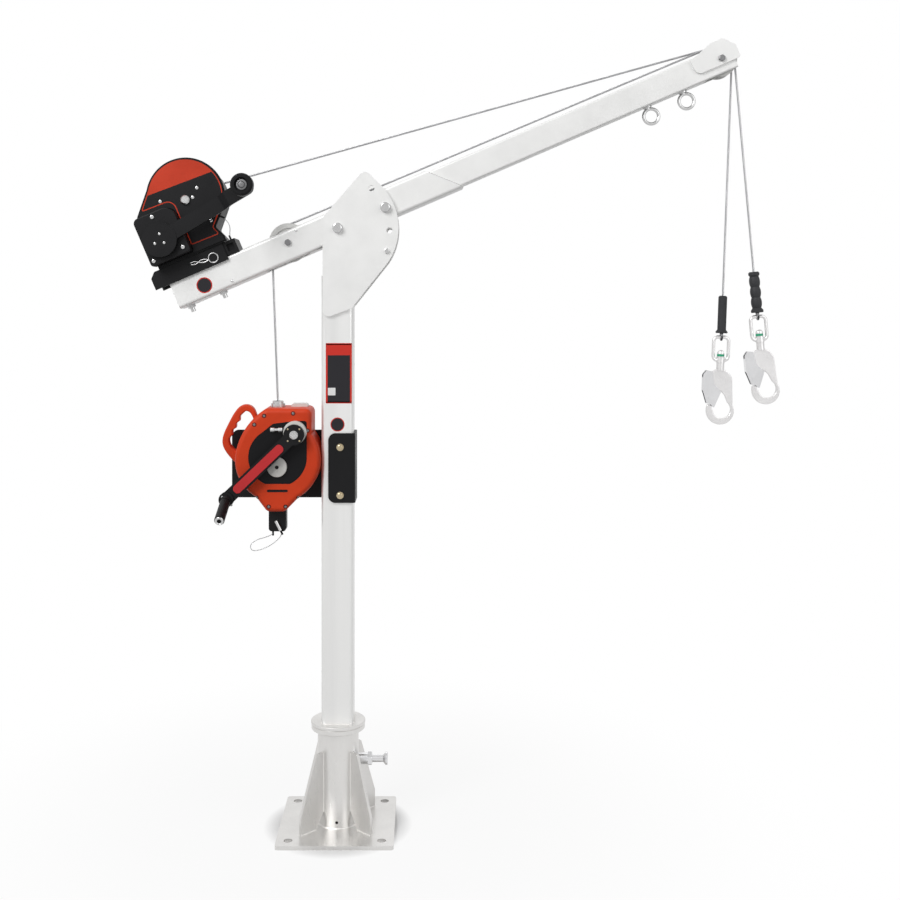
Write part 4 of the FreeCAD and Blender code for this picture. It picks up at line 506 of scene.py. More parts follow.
@dataclass
class SubAssembly:
    """Finer pieces of one part of the davit, which ride on its body."""

    body: str = "mast"

    def add(self, name: str, shape: Shape, slot: str, *finishes: Finish, body: str = "") -> bpy.types.Object:
        """Finish a drawn shape as a piece.

        Args:
            name: The piece's name.
            shape: The shape, in millimetres.
            slot: The record's material slot.
            finishes: The finishes that its faces choose from.
            body: The body that it rides on, if not this sub-assembly's own.

        Returns:
            The piece.
        """
        drawn = shape.mesh
        bmesh.ops.scale(drawn, vec=(MM, MM, MM), verts=drawn.verts[:])
        bmesh.ops.recalc_face_normals(drawn, faces=drawn.faces[:])
        settle(drawn)
        mesh = bpy.data.meshes.new(name)
        drawn.to_mesh(mesh)
        drawn.free()
        mesh.shade_smooth()
        mesh.set_sharp_from_angle(angle=SHARP_FROM)
        return self.ride(name, mesh, slot, *finishes, body=body)

    def ride(self, name: str, data: bpy.types.ID, slot: str, *finishes: Finish,
             body: str = "") -> bpy.types.Object:
        """Put finished data in the scene on its body.

        Args:
            name: The piece's name.
            data: Its mesh or curve, in metres.
            slot: The record's material slot; not used.
            finishes: The finishes that its faces choose from.
            body: The body that it rides on, if not this sub-assembly's own.

        Returns:
            The piece.
        """
        for finish in finishes:
            data.materials.append(finish.material())
        piece = link(name, data)
        bpy.context.view_layer.update()
        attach(piece, body or self.body)
        LOG.info("%s: on %s", name, body or self.body)
        return piece


def nurbs(name: str, route: Sequence[Vector], smooth: int = 24) -> bpy.types.Curve:
    """Smooth line with a route's points as its control points.

    Args:
        name: The curve's name.
        route: The points, in millimetres.
        smooth: Steps between two control points.

    Returns:
        The curve, in metres.
    """
    curve = bpy.data.curves.new(name, "CURVE")
    curve.dimensions = "3D"
    curve.resolution_u = smooth
    spline = curve.splines.new("NURBS")
    spline.points.add(len(route) - 1)
    for control, place in zip(spline.points, route):
        control.co = (*(place * MM), 1.0)
    spline.order_u = 3
    spline.use_endpoint_u = True
    return curve


def line_of(curve: bpy.types.Curve) -> list[Vector]:
    """Points along a curve's centreline, in metres.

    Args:
        curve: The curve, before it has a thickness.

    Returns:
        The points in order.
    """
    holder = bpy.data.objects.new(curve.name, curve)
    mesh = bpy.data.meshes.new_from_object(holder)
    points = [corner.co.copy() for corner in mesh.vertices]
    bpy.data.objects.remove(holder)
    bpy.data.meshes.remove(mesh)
    return points


def length_of(points: Sequence[Vector]) -> float:
    """Length of a line through points."""
    return sum((after - before).length for before, after in zip(points, points[1:]))


@dataclass
class WireRope:
    """Wire rope of strands laid round a core as thick as they are."""

    name: str
    route: Sequence[Vector]
    diameter: float
    strands: int = 6
    across: int = 3
    swell: float = 1.04
    lay: float = 32.0
    step: float = 3.2
    sides: int = 8
    smooth: int = 60

    def mesh(self) -> tuple[bpy.types.Mesh, list[Vector]]:
        """Lay the strands straight along X and bend them to the route.

        Returns:
            The rope's mesh and the points that it follows, in metres.
        """
        guide = nurbs(self.name + "_guide", self.route, self.smooth)
        points = line_of(guide)
        bent = link(self.name + "_guide", guide)
        straight = link(self.name, self._straight(length_of(points)))
        follow = straight.modifiers.new("follow", "CURVE")
        follow.object = bent
        bpy.context.view_layer.update()
        made = bpy.data.meshes.new_from_object(straight.evaluated_get(bpy.context.evaluated_depsgraph_get()))
        made.name = self.name
        laid = straight.data
        bpy.data.objects.remove(straight)
        bpy.data.objects.remove(bent)
        bpy.data.meshes.remove(laid)
        return made, points

    def _straight(self, length: float) -> bpy.types.Mesh:
        """Draw straight strands, twisted about the X axis.

        Args:
            length: Their length, in metres.

        Returns:
            The strands' mesh, in metres.
        """
        drawn = bmesh.new()
        strand = self.diameter * MM / (2.0 * self.across)
        for index in range(self.strands + 1):
            turn = Matrix.Rotation(math.tau * index / self.strands, 4, "X")
            out = 2.0 * strand if index < self.strands else 0.0
            bmesh.ops.create_circle(
                drawn, segments=self.sides, radius=strand * self.swell,
                matrix=turn @ Matrix.Translation((0.0, 0.0, out)) @ Matrix.Rotation(QUARTER_TURN, 4, "Y"))
        steps = max(2, round(length / (self.step * MM)))
        twist = math.tau * length / (self.lay * MM)
        bmesh.ops.spin(drawn, geom=drawn.verts[:] + drawn.edges[:], cent=ORIGIN, axis=(1.0, 0.0, 0.0),
                       dvec=(length / steps, 0.0, 0.0), angle=twist, steps=steps)
        ends = [edge for edge in drawn.edges if edge.is_boundary]
        bmesh.ops.holes_fill(drawn, edges=ends, sides=self.sides)
        bmesh.ops.recalc_face_normals(drawn, faces=drawn.faces[:])
        settle(drawn)
        mesh = bpy.data.meshes.new(self.name + "_straight")
        drawn.to_mesh(mesh)
        drawn.free()
        mesh.shade_smooth()
        return mesh


def wrap(centre: Vector, radius: float, start: float, stop: float) -> list[Vector]:
    """Control points that lay a rope round a wheel, from one angle to another.

    Args:
        centre: The wheel's centre.
        radius: The radius of the rope's middle.
        start: The angle where the rope lands.
        stop: The angle where it leaves.

    Returns:
        A point before the wheel, two corners round it and a point after it.
    """
    step = (stop - start) / 2.0
    reach = radius / math.cos(step / 2.0)
    first, last = around(centre, reach, start + step / 2.0), around(centre, reach, stop - step / 2.0)
    landing, leaving = around(centre, radius, start), around(centre, radius, stop)
    return [landing * 2.0 - first, first, last, leaving * 2.0 - last]


def bearing(start: Vector, end: Vector) -> float:
    """Angle of the way between two points, from +X towards +Z."""
    return math.atan2(end.z - start.z, end.x - start.x)


@dataclass
class HookLine(SubAssembly):
    """One line's fall, rope eye and swivel band, down from its tip sheave."""

    name: str = "winch"
    grip: str = "winch_line_sleeve"
    lean: float = WINCH_LEAN
    y: float = ROPE_Y
    fall: float = 598.0
    grip_length: float = 96.0
    link_seat: float = 6.0
    link_height: float = 68.0
    link_bar: float = 8.6
    link_play: float = 0.3
    swivel_rise: float = 13.3
    swivel_head: float = 18.0
    band_height: float = 6.0
    band_drop: float = 1.0
    band_sunk: float = 0.2
    band_proud: float = 0.35
    band_ease: float = 0.3
    lead: float = 30.0

    def length(self) -> float:
        """Length of the rope, from its sheave to the end of its grip."""
        return self.fall + self.grip_length

    def down(self, depth: float) -> Matrix:
        """Placement at a depth down the line, with drawn Z up it.

        Args:
            depth: The length along the line from its tip sheave.

        Returns:
            The placement.
        """
        top = around(boom_point(*TIP_SHEAVE, self.y), TIP_PITCH, self.lean)
        turn = Matrix.Rotation(-self.lean, 4, "Y")
        return Matrix.Translation(top) @ turn @ Matrix.Translation((0.0, 0.0, -depth))

    def build(self) -> None:
        """Make the fall, the rope eye and the swivel's green band."""
        eye, band = self._eye(), self._band()
        end = self.length()
        route = [self.down(depth).translation for depth in (0.0, self.fall - self.lead, end)]
        mesh, points = WireRope(self.name + "_fall_rope", route, DRAWN_ROPE).mesh()
        fall = self.ride(self.name + "_fall_rope", mesh, "wire_rope", WIRE)
        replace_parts(fall, self.name + "_fall")

    def _eye(self) -> bpy.types.Object:
        """Make the rope loop that holds the link's upper bar.

        Returns:
            The loop's piece.
        """
        end = self.length()
        bar = end + self.link_seat + self.link_bar / 2.0
        reach = self.link_bar / 2.0 + self.link_play + ROPE / 2.0
        loop = wrap(Vector((0.0, 0.0, -bar)), reach, -math.pi, 0.0)
        ends = [Vector((side * reach, 0.0, -end)) for side in (-1.0, 1.0)]
        place = self.down(0.0) @ Matrix.Rotation(QUARTER_TURN, 4, "Z")
        route = [place @ point for point in (ends[0], *loop[1:3], ends[1])]
        mesh, _ = WireRope(self.name + "_rope_eye", route, DRAWN_EYE).mesh()
        return self.ride(self.name + "_rope_eye", mesh, "wire_rope", WIRE)

    def _band(self) -> bpy.types.Object:
        """Make the green band round the swivel's head.

        Returns:
            The band's piece.
        """
        foot = self.length() + self.link_seat + self.link_height
        head = self.swivel_head / 2.0
        band = Shape().ring(head - self.band_sunk, head + self.band_proud, self.band_height, self.band_ease)
        band.placed(self.down(foot - self.swivel_rise - self.band_drop))
        return self.add(self.name + "_swivel_band", band, "bright_hook", MARK_GREEN,
                        body=self.name + "_snap_hook")


@dataclass
class TautRopes(SubAssembly):
    """Winch rope and lifeline rope, taut from their drums over the sheaves."""

    drum: Pair = (-325.0, 206.0)
    drum_wrap: float = 24.0
    port: float = 70.0
    nozzle: Triple = (-152.0, -13.0, 1067.3)

    def build(self) -> None:
        """Make both ropes in place of the frame's plain ones."""
        for name, route in (("winch_rope", self._winch_route()), ("lifeline_rope", self._lifeline_route())):
            mesh, _ = WireRope(name + "_strands", route, DRAWN_ROPE).mesh()
            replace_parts(self.ride(name + "_strands", mesh, "wire_rope", WIRE), name)

    def _winch_route(self) -> list[Vector]:
        """List the control points from the winch's rope port to the tip sheave.

        Returns:
            The points, in millimetres.
        """
        drum, tip = boom_point(*self.drum, ROPE_Y), boom_point(*TIP_SHEAVE, ROPE_Y)
        run = self._over(drum, self.drum_wrap, tip, TIP_PITCH)
        leave = around(drum, self.drum_wrap, run + QUARTER_TURN)
        land = around(tip, TIP_PITCH, run + QUARTER_TURN)
        start = leave + (land - leave).normalized() * self.port
        return [start, *self._to_fall(tip, run, WINCH_LEAN)]

    def _lifeline_route(self) -> list[Vector]:
        """List the control points from the nozzle over the mid sheave to the tip sheave.

        Returns:
            The points, in millimetres.
        """
        start = Vector(self.nozzle)
        mid, tip = boom_point(*MID_SHEAVE, -ROPE_Y), boom_point(*TIP_SHEAVE, -ROPE_Y)
        rise = bearing(start, mid) + math.asin(MID_PITCH / (mid - start).length)
        run = self._over(mid, MID_PITCH, tip, TIP_PITCH)
        return [start, *wrap(mid, MID_PITCH, rise + QUARTER_TURN, run + QUARTER_TURN),
                *self._to_fall(tip, run, LIFELINE_LEAN)]

    @staticmethod
    def _over(first: Vector, first_radius: float, second: Vector, second_radius: float) -> float:
        """Angle of a taut rope over the tops of two wheels."""
        return bearing(first, second) - math.asin((first_radius - second_radius) / (second - first).length)

    @staticmethod
    def _to_fall(tip: Vector, run: float, lean: float) -> list[Vector]:
        """Control points over the tip sheave, from a run's angle to the start of its fall."""
        return [*wrap(tip, TIP_PITCH, run + QUARTER_TURN, lean)[:-1], around(tip, TIP_PITCH, lean)]


@dataclass
class Lanyard(SubAssembly):
    """Thin keeper lanyard that hangs between two fixed ends, with a ferrule on each."""

    name: str = "pin_lanyard"
    route: Sequence[Vector] = ()
    diameter: float = 2.0
    roundness: int = 3
    ferrule: float = 12.0
    ferrule_width: float = 5.0
    ferrule_ease: float = 0.6
    ferrule_steps: int = 20

    def build(self) -> None:
        """Make the cord and its ferrules in place of the frame's plain one."""
        curve = nurbs(self.name + "_cord", self.route)
        points = line_of(curve)
        curve.bevel_depth = self.diameter * MM / 2.0
        curve.bevel_resolution = self.roundness
        curve.use_fill_caps = True
        cord = self.ride(self.name + "_cord", curve, "wire_rope", WIRE)
        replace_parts(cord, self.name)
        sleeve = Shape().ring(self.diameter / 2.0, self.ferrule_width / 2.0, self.ferrule, self.ferrule_ease,
                              self.ferrule_steps)
        sleeve.placed(aimed(self.route[0], self.route[1] - self.route[0]),
                      aimed(self.route[-1], self.route[-2] - self.route[-1]))
        ends = self.add(self.name + "_ferrules", sleeve, "black_moulding", BLACK_MOULDING)


# The loop's steps are taken from a corner of the lug; its last stretch runs straight into the pin's tab.
LUG_CORNER = Vector((-152.0, -28.0, 753.0))
LUG_STEPS = ((-12, 8, 0), (-12, 8, -9), (-30, -1, -15), (-52, -4, -20), (-69, -6, -33), (-64, -8, -48),
             (-44, -8, -46), (-20, -9, -36), (2, -9, -20))
LUG_PIN_TAB = Vector((-143.0, -36.0, 757.0))
TAB_WAY = Vector((12.0, 0.0, -24.0)).normalized()
TAB_LEAD = 10.0


def lug_route() -> list[Vector]:
    """Route of the lug pin's lanyard, from the lug's underside to the pin's tab."""
    steps = [LUG_CORNER + Vector(step) for step in LUG_STEPS]
    return [*steps, LUG_PIN_TAB + TAB_WAY * TAB_LEAD, LUG_PIN_TAB]


# The lanyard leaves the middle of the flank between the face's rim and its notch, square to that flank.
FLANK_RADIUS = 99.5
FLANK_NOTCH = Vector((-281.5, 0.0, 114.5))
FLANK_Y = -47.0
FLANK_LEAD = 10.0
LANYARD_SAG = (14.0, -31.0)
LANYARD_SAG_Y = -44.0
STOP_BLOCK_END = (-261.9, 71.7)
STOP_BLOCK_LEAD = 10.0
STOP_BLOCK_Y = -30.0


def pin_route() -> list[Vector]:
    """List the control points of the hitch pin's lanyard, from the winch's flank to the stop block.

    Returns:
        The points, in millimetres.
    """
    rim = around(Vector((WINCH_FACE[0], 0.0, WINCH_FACE[1])), FLANK_RADIUS, math.radians(WINCH_FACE_END))
    middle, flank = (rim + FLANK_NOTCH) / 2.0, (rim - FLANK_NOTCH).normalized()
    led = middle + Vector((flank.z, 0.0, -flank.x)) * FLANK_LEAD
    end_a, end_b = STOP_BLOCK_END
    return [boom_point(middle.x, middle.z, FLANK_Y), boom_point(led.x, led.z, FLANK_Y),
            boom_point(middle.x + LANYARD_SAG[0], middle.z + LANYARD_SAG[1], LANYARD_SAG_Y),
            boom_point(end_a, end_b + STOP_BLOCK_LEAD, STOP_BLOCK_Y), boom_point(end_a, end_b, STOP_BLOCK_Y)]


SCREW_SEAT = 0.6
SCREW_STEPS = 20
# The dome and the socket are shares of the head's radius and height.
SCREW_DOME = ((1.0, 0.45), (0.9, 0.85), (0.72, 1.0))
SOCKET_WIDTH = 0.46
SOCKET_FLOOR = 0.3
SOCKET_TAPER = 0.9


def screw(radius: float, height: float) -> Shape:
    """Draw a pan-head screw with a socket, up the Z axis from just under its seat.

    Args:
        radius: The radius of its head.
        height: The height of its head.

    Returns:
        The screw's shape.
    """
    socket, floor = radius * SOCKET_WIDTH, height * SOCKET_FLOOR
    dome = [(radius * out, height * up) for out, up in SCREW_DOME]
    return Shape().turned([(0.0, -SCREW_SEAT), (radius, -SCREW_SEAT), *dome, (socket, height),
                           (socket * SOCKET_TAPER, floor), (0.0, floor)], SCREW_STEPS)


BEAD_VALLEY = 0.86
BEAD_STEPS = 12


def bead(length: float, radius: float, ripple: float = 2.4) -> Shape:
    """Draw a weld bead up the Z axis, swollen at each ripple.

    Args:
        length: Its length.
        radius: Its radius at a swell.
        ripple: The length from a swell to the next valley.

    Returns:
        The bead's shape.
    """
    count = max(3, round(length / ripple))
    swells = [(radius * (1.0 if index % 2 else BEAD_VALLEY), length * index / count)
              for index in range(count + 1)]
    return Shape().turned([(0.0, -radius / 2.0), *swells, (0.0, length + radius / 2.0)], BEAD_STEPS)


PROBE_Y = -400.0


def seat(node: str, x: float, z: float) -> Matrix:
    """Placement on the surface of a frame piece that faces the viewer.

    Args:
        node: The piece's name.
        x: The place along X.
        z: The place's height.

    Returns:
        A placement with drawn Z along the surface's normal.
    """
    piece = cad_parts[node]
    inward = piece.matrix_world.inverted()
    hit, place, normal, _ = piece.ray_cast(inward @ (Vector((x, PROBE_Y, z)) * MM),
                                           inward.to_3x3() @ Vector((0.0, 1.0, 0.0)))
    if not hit:
        raise ValueError(f"{node} has no surface at {x}, {z}")
    return aimed((piece.matrix_world @ place) / MM, piece.matrix_world.to_3x3() @ normal)


@dataclass
class WinchTrim(SubAssembly):
    """Two-colour face and fasteners of the hand winch."""

    face_y: float = -55.0
    cover_y: float = -85.0
    hub_y: float = -100.0
    knob_floor_y: float = -181.0
    film: float = 0.3
    stripe: float = 2.5
    red_above: Pair = (-322.0, 249.0)
    red_tilt: float = 0.044
    rim: Triple = (*WINCH_FACE, 94.0)
    rim_angles: Pair = (146.5, WINCH_FACE_END)
    corners: tuple[Triple, ...] = ((-287.0, 115.5, 3.0), (-279.0, 94.0, 7.0), (-355.0, 96.0, 5.0),
                                   (-355.0, 218.0, 20.0), (-439.4, 221.0, 9.0))
    hub: Pair = (-416.0, 133.5)
    hub_ring: float = 14.5
    hub_angles: tuple[float, ...] = (64.0, 200.0, -54.0)
    hub_screw: Pair = (3.4, 1.8)
    face_screw: Pair = (4.4, 2.4)
    face_screws: Places = ((-305.0, 204.5), (-384.0, 226.5), (-285.5, 133.0), (-286.0, 222.0))
    cover_screw: Pair = (5.2, 3.2)
    cover_screws: Places = ((-412.8, 194.3), (-371.5, 95.8), (-452.0, 92.0))
    knob: Pair = (-167.1, 165.8)
    knob_bolt: Places = ((0.0, -0.5), (12.5, -0.5), (12.5, 1.6), (9.5, 2.0), (8.4, 2.0), (8.4, 6.4),
                         (6.4, 8.6), (0.0, 9.6))

    def build(self) -> None:
        """Make the face, the screws and the crank's bolts."""
        self._face()
        self._screws("winch_face_screws", self.face_screw, self.face_screws, self.face_y)
        self._screws("winch_cover_screws", self.cover_screw, self.cover_screws, self.cover_y)
        turns = [math.radians(angle) for angle in self.hub_angles]
        hub = [(self.hub[0] + self.hub_ring * math.cos(turn), self.hub[1] + self.hub_ring * math.sin(turn))
               for turn in turns]
        self._screws("winch_hub_screws", self.hub_screw, hub, self.hub_y, "winch_crank")
        bolt = Shape().turned(self.knob_bolt).placed(boom_front(*self.knob, self.knob_floor_y))
        self.add("winch_knob_bolt", bolt, "bright_fastener", DARK_STEEL, body="winch_crank")

    def _screws(self, name: str, head: Pair, places: Iterable[Pair], y: float, body: str = "") -> None:
        """Make one set of screws on a face of the winch.

        Args:
            name: The set's name.
            head: Radius and height of a head.
            places: Their places on the boom.
            y: The face's depth.
            body: The body that they ride on, if not the mast.
        """
        heads = screw(*head).placed(*(boom_front(a, b, y) for a, b in places))
        self.add(name, heads, "bright_fastener", FASTENER, body=body)

    def _face(self) -> None:
        """Make the film on the face plate: a red cap and a black field inside a red stripe."""
        film = Shape()
        film.outline(self.rim, self.rim_angles, self.corners)
        film.banded(film.raised(self.film), ((self.stripe, 1),), 0)
        film.divided(Vector((*self.red_above, 0.0)), Vector((self.red_tilt, 1.0, 0.0)), 0, 1)
        film.placed(boom_front(0.0, 0.0, self.face_y))
        self.add("winch_face_film", film, "winch_face", BLACK_COAT, WINCH_RED)


def eased(radius: float, height: float, edge: Places) -> list[Pair]:
    """Profile of a cap's rounded edge, from how far each point lies inside its radius and under its top."""
    return [(radius - inside, height - under) for inside, under in edge]


@dataclass
class LifelineTrim(SubAssembly):
    """Screws, cap and fittings of the self-retracting lifeline and its retrieval crank."""

    case_screw: Pair = (3.2, 1.4)
    case_screws: Places = ((-180.5, 1049.0), (-108.0, 1055.0), (-205.0, 1027.0), (-72.0, 1012.0),
                           (-96.0, 845.0), (-127.0, 822.0), (-169.0, 822.0), (-199.0, 845.0))
    pocket: Places = ((0.0, -1.5), (5.6, -1.5), (5.6, 0.15), (5.1, 0.5), (4.5, 0.3), (4.1, 0.1), (0.0, 0.1))
    pocket_steps: int = 24
    slot_place: Pair = (-147.5, 861.5)
    slot_size: Pair = (52.0, 6.0)
    slot_corner: float = 2.7
    slot_proud: float = 0.7
    slot_lip: float = 1.0
    slot_sunk: float = 0.55
    cap: Pair = (-148.0, 921.0)
    cap_radius: float = 24.5
    cap_y: float = -65.5
    cap_height: float = 7.0
    cap_cover: float = 0.3
    cap_edge: Places = ((0.0, 2.2), (0.7, 0.7), (2.3, 0.0))
    cap_dish: Places = ((9.0, 0.0), (7.6, 0.5), (5.6, 0.5), (5.2, 0.1), (0.0, 0.1))
    cap_screw: Pair = (4.6, 0.9)
    gear_cap: Pair = (-103.0, 1007.4)
    gear_cap_bore: float = 20.0
    gear_cap_radius: float = 29.3
    gear_cap_height: float = 13.7
    gear_cap_edge: Places = ((0.0, 1.2), (0.4, 0.4), (1.2, 0.0))
    gear_cap_steps: int = 64
    hub: Pair = (-104.0, 1003.6)
    hub_y: float = -91.3
    hub_screw: Pair = (2.3, 1.4)
    hub_screw_reach: float = 14.6
    hub_washer: Places = ((0.0, -0.5), (10.6, -0.5), (10.6, 1.0), (10.0, 1.6), (9.2, 1.6), (0.0, 1.6))
    hub_washer_steps: int = 40
    hub_nut: Places = ((9.4, 0.0), (9.4, 5.8), (8.2, 6.9), (6.2, 7.2), (5.2, 8.6), (0.0, 9.4))
    hub_nut_sides: int = 6
    hub_nut_seat: float = 1.0
    end_screw: Pair = (3.0, 1.6)
    end_screws: Places = ((-279.5, 851.4), (-257.0, 831.0))
    end_y: float = -97.3
    grip_seat: Triple = (-270.6, -97.3, 844.0)
    grip_length: float = 102.0
    grip_droop: float = math.radians(20.0)
    grip_ring: Places = ((5.4, -0.8), (10.7, -0.8), (10.7, 0.6), (10.1, 1.2), (7.4, 1.2), (6.8, 0.6),
                         (5.4, 0.6), (5.4, -0.8))
    grip_ring_steps: int = 36

    def build(self) -> None:
        """Make the casing's, the face's and the crank's fittings."""
        seats = [seat("lifeline_housing", x, z) for x, z in self.case_screws]
        # Dark red discs under the case screws: painted shade of the screw recesses.
        pockets = Shape().turned(self.pocket, self.pocket_steps).placed(*seats)
        self.add("lifeline_case_pockets", pockets, "red_moulding", POCKET_SHADE_RED)
        screws = screw(*self.case_screw).placed(*seats)
        self.add("lifeline_case_screws", screws, "bright_fastener", DARK_STEEL)
        self._slot()
        self._cap()
        self._gear_cap()
        self._crank()
        self._grip_end()

    def _slot(self) -> None:
        """Make the dark lipped slot in the casing under the face."""
        lip = Shape().panel(*self.slot_size, self.slot_corner)
        floor = lip.raised(self.slot_proud)
        lip.banded(floor, ((self.slot_lip, 0),), 0)
        corners = {corner for face in floor for corner in face.verts}
        bmesh.ops.translate(lip.mesh, vec=(0.0, 0.0, -self.slot_sunk), verts=list(corners))
        lip.placed(seat("lifeline_housing", *self.slot_place))
        self.add("lifeline_slot", lip, "black_moulding", BLACK_MOULDING)

    def _cap(self) -> None:
        """Make the pale cap with a dished centre screw over the frame's plain one."""
        radius, height = self.cap_radius + self.cap_cover, self.cap_height + self.cap_cover
        dish = [(out, height + up) for out, up in self.cap_dish]
        cover = Shape().turned([(radius, 0.0), *eased(radius, height, self.cap_edge), *dish], DISC_STEPS)
        cover.placed(front(*self.cap, self.cap_y))
        self.add("lifeline_cap", cover, "pale_moulding", PALE_MOULDING)
        heart = screw(*self.cap_screw).placed(front(*self.cap, self.cap_y - dish[-1][1]))
        self.add("lifeline_cap_screw", heart, "black_moulding", BLACK_COAT)

    def _gear_cap(self) -> None:
        """Make the pale cap round the gear boss, set a little high, so that a crescent shows over the hub."""
        radius, height, bore = self.gear_cap_radius, self.gear_cap_height, self.gear_cap_bore
        ring = Shape().turned([(bore, 0.0), (radius, 0.0), *eased(radius, height, self.gear_cap_edge),
                               (bore, height)], self.gear_cap_steps)
        ring.placed(front(*self.gear_cap, self.cap_y))
        self.add("lifeline_gear_cap", ring, "pale_moulding", PALE_MOULDING)

    def _crank(self) -> None:
        """Make the screws and the centre nut of the retrieval crank."""
        steps = (-self.hub_screw_reach, self.hub_screw_reach)
        corners = [front(self.hub[0] + dx, self.hub[1] + dz, self.hub_y) for dx in steps for dz in steps]
        screws = screw(*self.hub_screw).placed(*corners)
        self.add("lifeline_hub_screws", screws, "yellow_zinc", YELLOW_ZINC, body="lifeline_crank")
        washer = Shape().turned(self.hub_washer, self.hub_washer_steps).placed(front(*self.hub, self.hub_y))
        self.add("lifeline_hub_washer", washer, "bright_fastener", FASTENER, body="lifeline_crank")
        nut = Shape().turned(self.hub_nut, self.hub_nut_sides)
        nut.placed(front(*self.hub, self.hub_y - self.hub_nut_seat))
        self.add("lifeline_hub_nut", nut, "bright_fastener", FASTENER, body="lifeline_crank")
        ends = screw(*self.end_screw).placed(*(front(x, z, self.end_y) for x, z in self.end_screws))
        self.add("lifeline_end_screws", ends, "bright_fastener", FASTENER, body="lifeline_crank")

    def _grip_end(self) -> None:
        """Make the bright ring in the end of the crank's grip."""
        ahead = Vector((0.0, -math.cos(self.grip_droop), -math.sin(self.grip_droop)))
        end = Vector(self.grip_seat) + ahead * self.grip_length
        ring = Shape().turned(self.grip_ring, self.grip_ring_steps).placed(aimed(end, ahead))
        self.add("lifeline_grip_ring", ring, "bright_fastener", FASTENER, body="lifeline_crank_handle")


def field_disc(name: str, owner: SubAssembly, radius: float, rim: float, place: Matrix) -> None:
    """Make a round field with a red rim and a dark middle.

    Args:
        name: The piece's name.
        owner: The sub-assembly that it belongs to.
        radius: Its radius.
        rim: The width of its rim.
        place: Its placement.
    """
    disc = Shape().disc(radius)
    disc.banded(disc.raised(LABEL_SHEET), ((rim, 0),), 1)
    owner.add(name, disc.placed(place), "winch_face", LABEL_RED, LABEL_DARK)


@dataclass
class MastTrim(SubAssembly):
    """Plain colour fields on the mast's front, and the weld at its foot."""

    half: float = 40.0
    corner: float = 10.0
    foot: float = 268.5
    label: tuple[float, float, float, float] = (-28.5, 37.3, 1078.0, 1230.0)
    label_border: float = 4.6
    label_corner: float = 1.5
    header: float = 26.0
    square: Pair = (-13.6, 1107.8)
    square_size: float = 19.0
    square_corner: float = 0.8
    square_proud: float = 0.25
    sticker: Pair = (1.0, 1024.8)
    sticker_radius: float = 17.7
    sticker_rim: float = 2.0
    weld: float = 2.6

    def build(self) -> None:
        """Make the label fields, the round field and the weld."""
        self._label()
        sticker = front(*self.sticker, -self.half)
        field_disc("mast_sticker", self, self.sticker_radius, self.sticker_rim, sticker)
        run = 2.0 * (self.half - self.corner)
        near = aimed(Vector((-run / 2.0, -self.half, self.foot)), Vector((1.0, 0.0, 0.0)))
        sides = [Matrix.Rotation(QUARTER_TURN * index, 4, "Z") @ near for index in range(4)]
        self.add("mast_foot_weld", bead(run, self.weld).placed(*sides), "stainless", WELD)

    def _label(self) -> None:
        """Make the dark field with its red border and header, and the pale square on it."""
        left, right, low, high = self.label
        panel = Shape().panel(right - left, high - low, self.label_corner)
        panel.banded(panel.raised(LABEL_SHEET), ((self.label_border, 0),), 1)
        under_header = Vector((0.0, (high - low) / 2.0 - self.label_border - self.header, 0.0))
        panel.divided(under_header, Vector((0.0, 1.0, 0.0)), 1, 0)
        panel.placed(front((left + right) / 2.0, (low + high) / 2.0, -self.half))
        self.add("mast_label", panel, "winch_face", LABEL_RED, LABEL_DARK)
        square = Shape().panel(self.square_size, self.square_size, self.square_corner)
        square.raised(self.square_proud)
        square.placed(front(*self.square, -self.half - LABEL_SHEET))
        self.add("mast_label_square", square, "pale_moulding", LABEL_WHITE)


@dataclass
class BoomTrim(SubAssembly):
    """Round field and small rivets on the boom's near side, and the bead at its outer tube's slanted end,
    grey as painted shade of the gap there.
    """

    outer_y: float = -37.8
    sticker: Pair = (-368.0, -8.0)
    sticker_radius: float = 20.0
    sticker_rim: float = 2.4
    rivet: Places = ((0.0, -0.5), (4.2, -0.5), (4.2, 0.3), (3.4, 1.2), (2.0, 1.8), (0.0, 2.0))
    rivet_steps: int = 24
    rivets: Places = ((-299.0, -26.0), (-100.0, 28.0))
    slant: Places = ((264.5, 30.0), (324.0, -30.0))
    slant_y: float = 33.0
    slant_bead: float = 1.7

    def build(self) -> None:
        """Make the field, the rivets and the beads."""
        sticker = boom_front(*self.sticker, self.outer_y)
        field_disc("boom_sticker", self, self.sticker_radius, self.sticker_rim, sticker)
        rivets = Shape().turned(self.rivet, self.rivet_steps)
        rivets.placed(*(boom_front(a, b, self.outer_y) for a, b in self.rivets))
        self.add("boom_rivets", rivets, "bright_fastener", FASTENER)
        ends = [[boom_point(*place, y) for place in self.slant] for y in (-self.slant_y, self.slant_y)]
        run = (ends[0][1] - ends[0][0]).length
        # A weld bead, given a mid grey darker than weld as painted shade of the gap at the outer tube's cut
        # end.
        bead_and_gap_shade = bead(run, self.slant_bead).placed(*(aimed(start, stop - start) for start, stop in ends))
        self.add("boom_slant_bead_gap_shade", bead_and_gap_shade, "stainless", FASTENER)


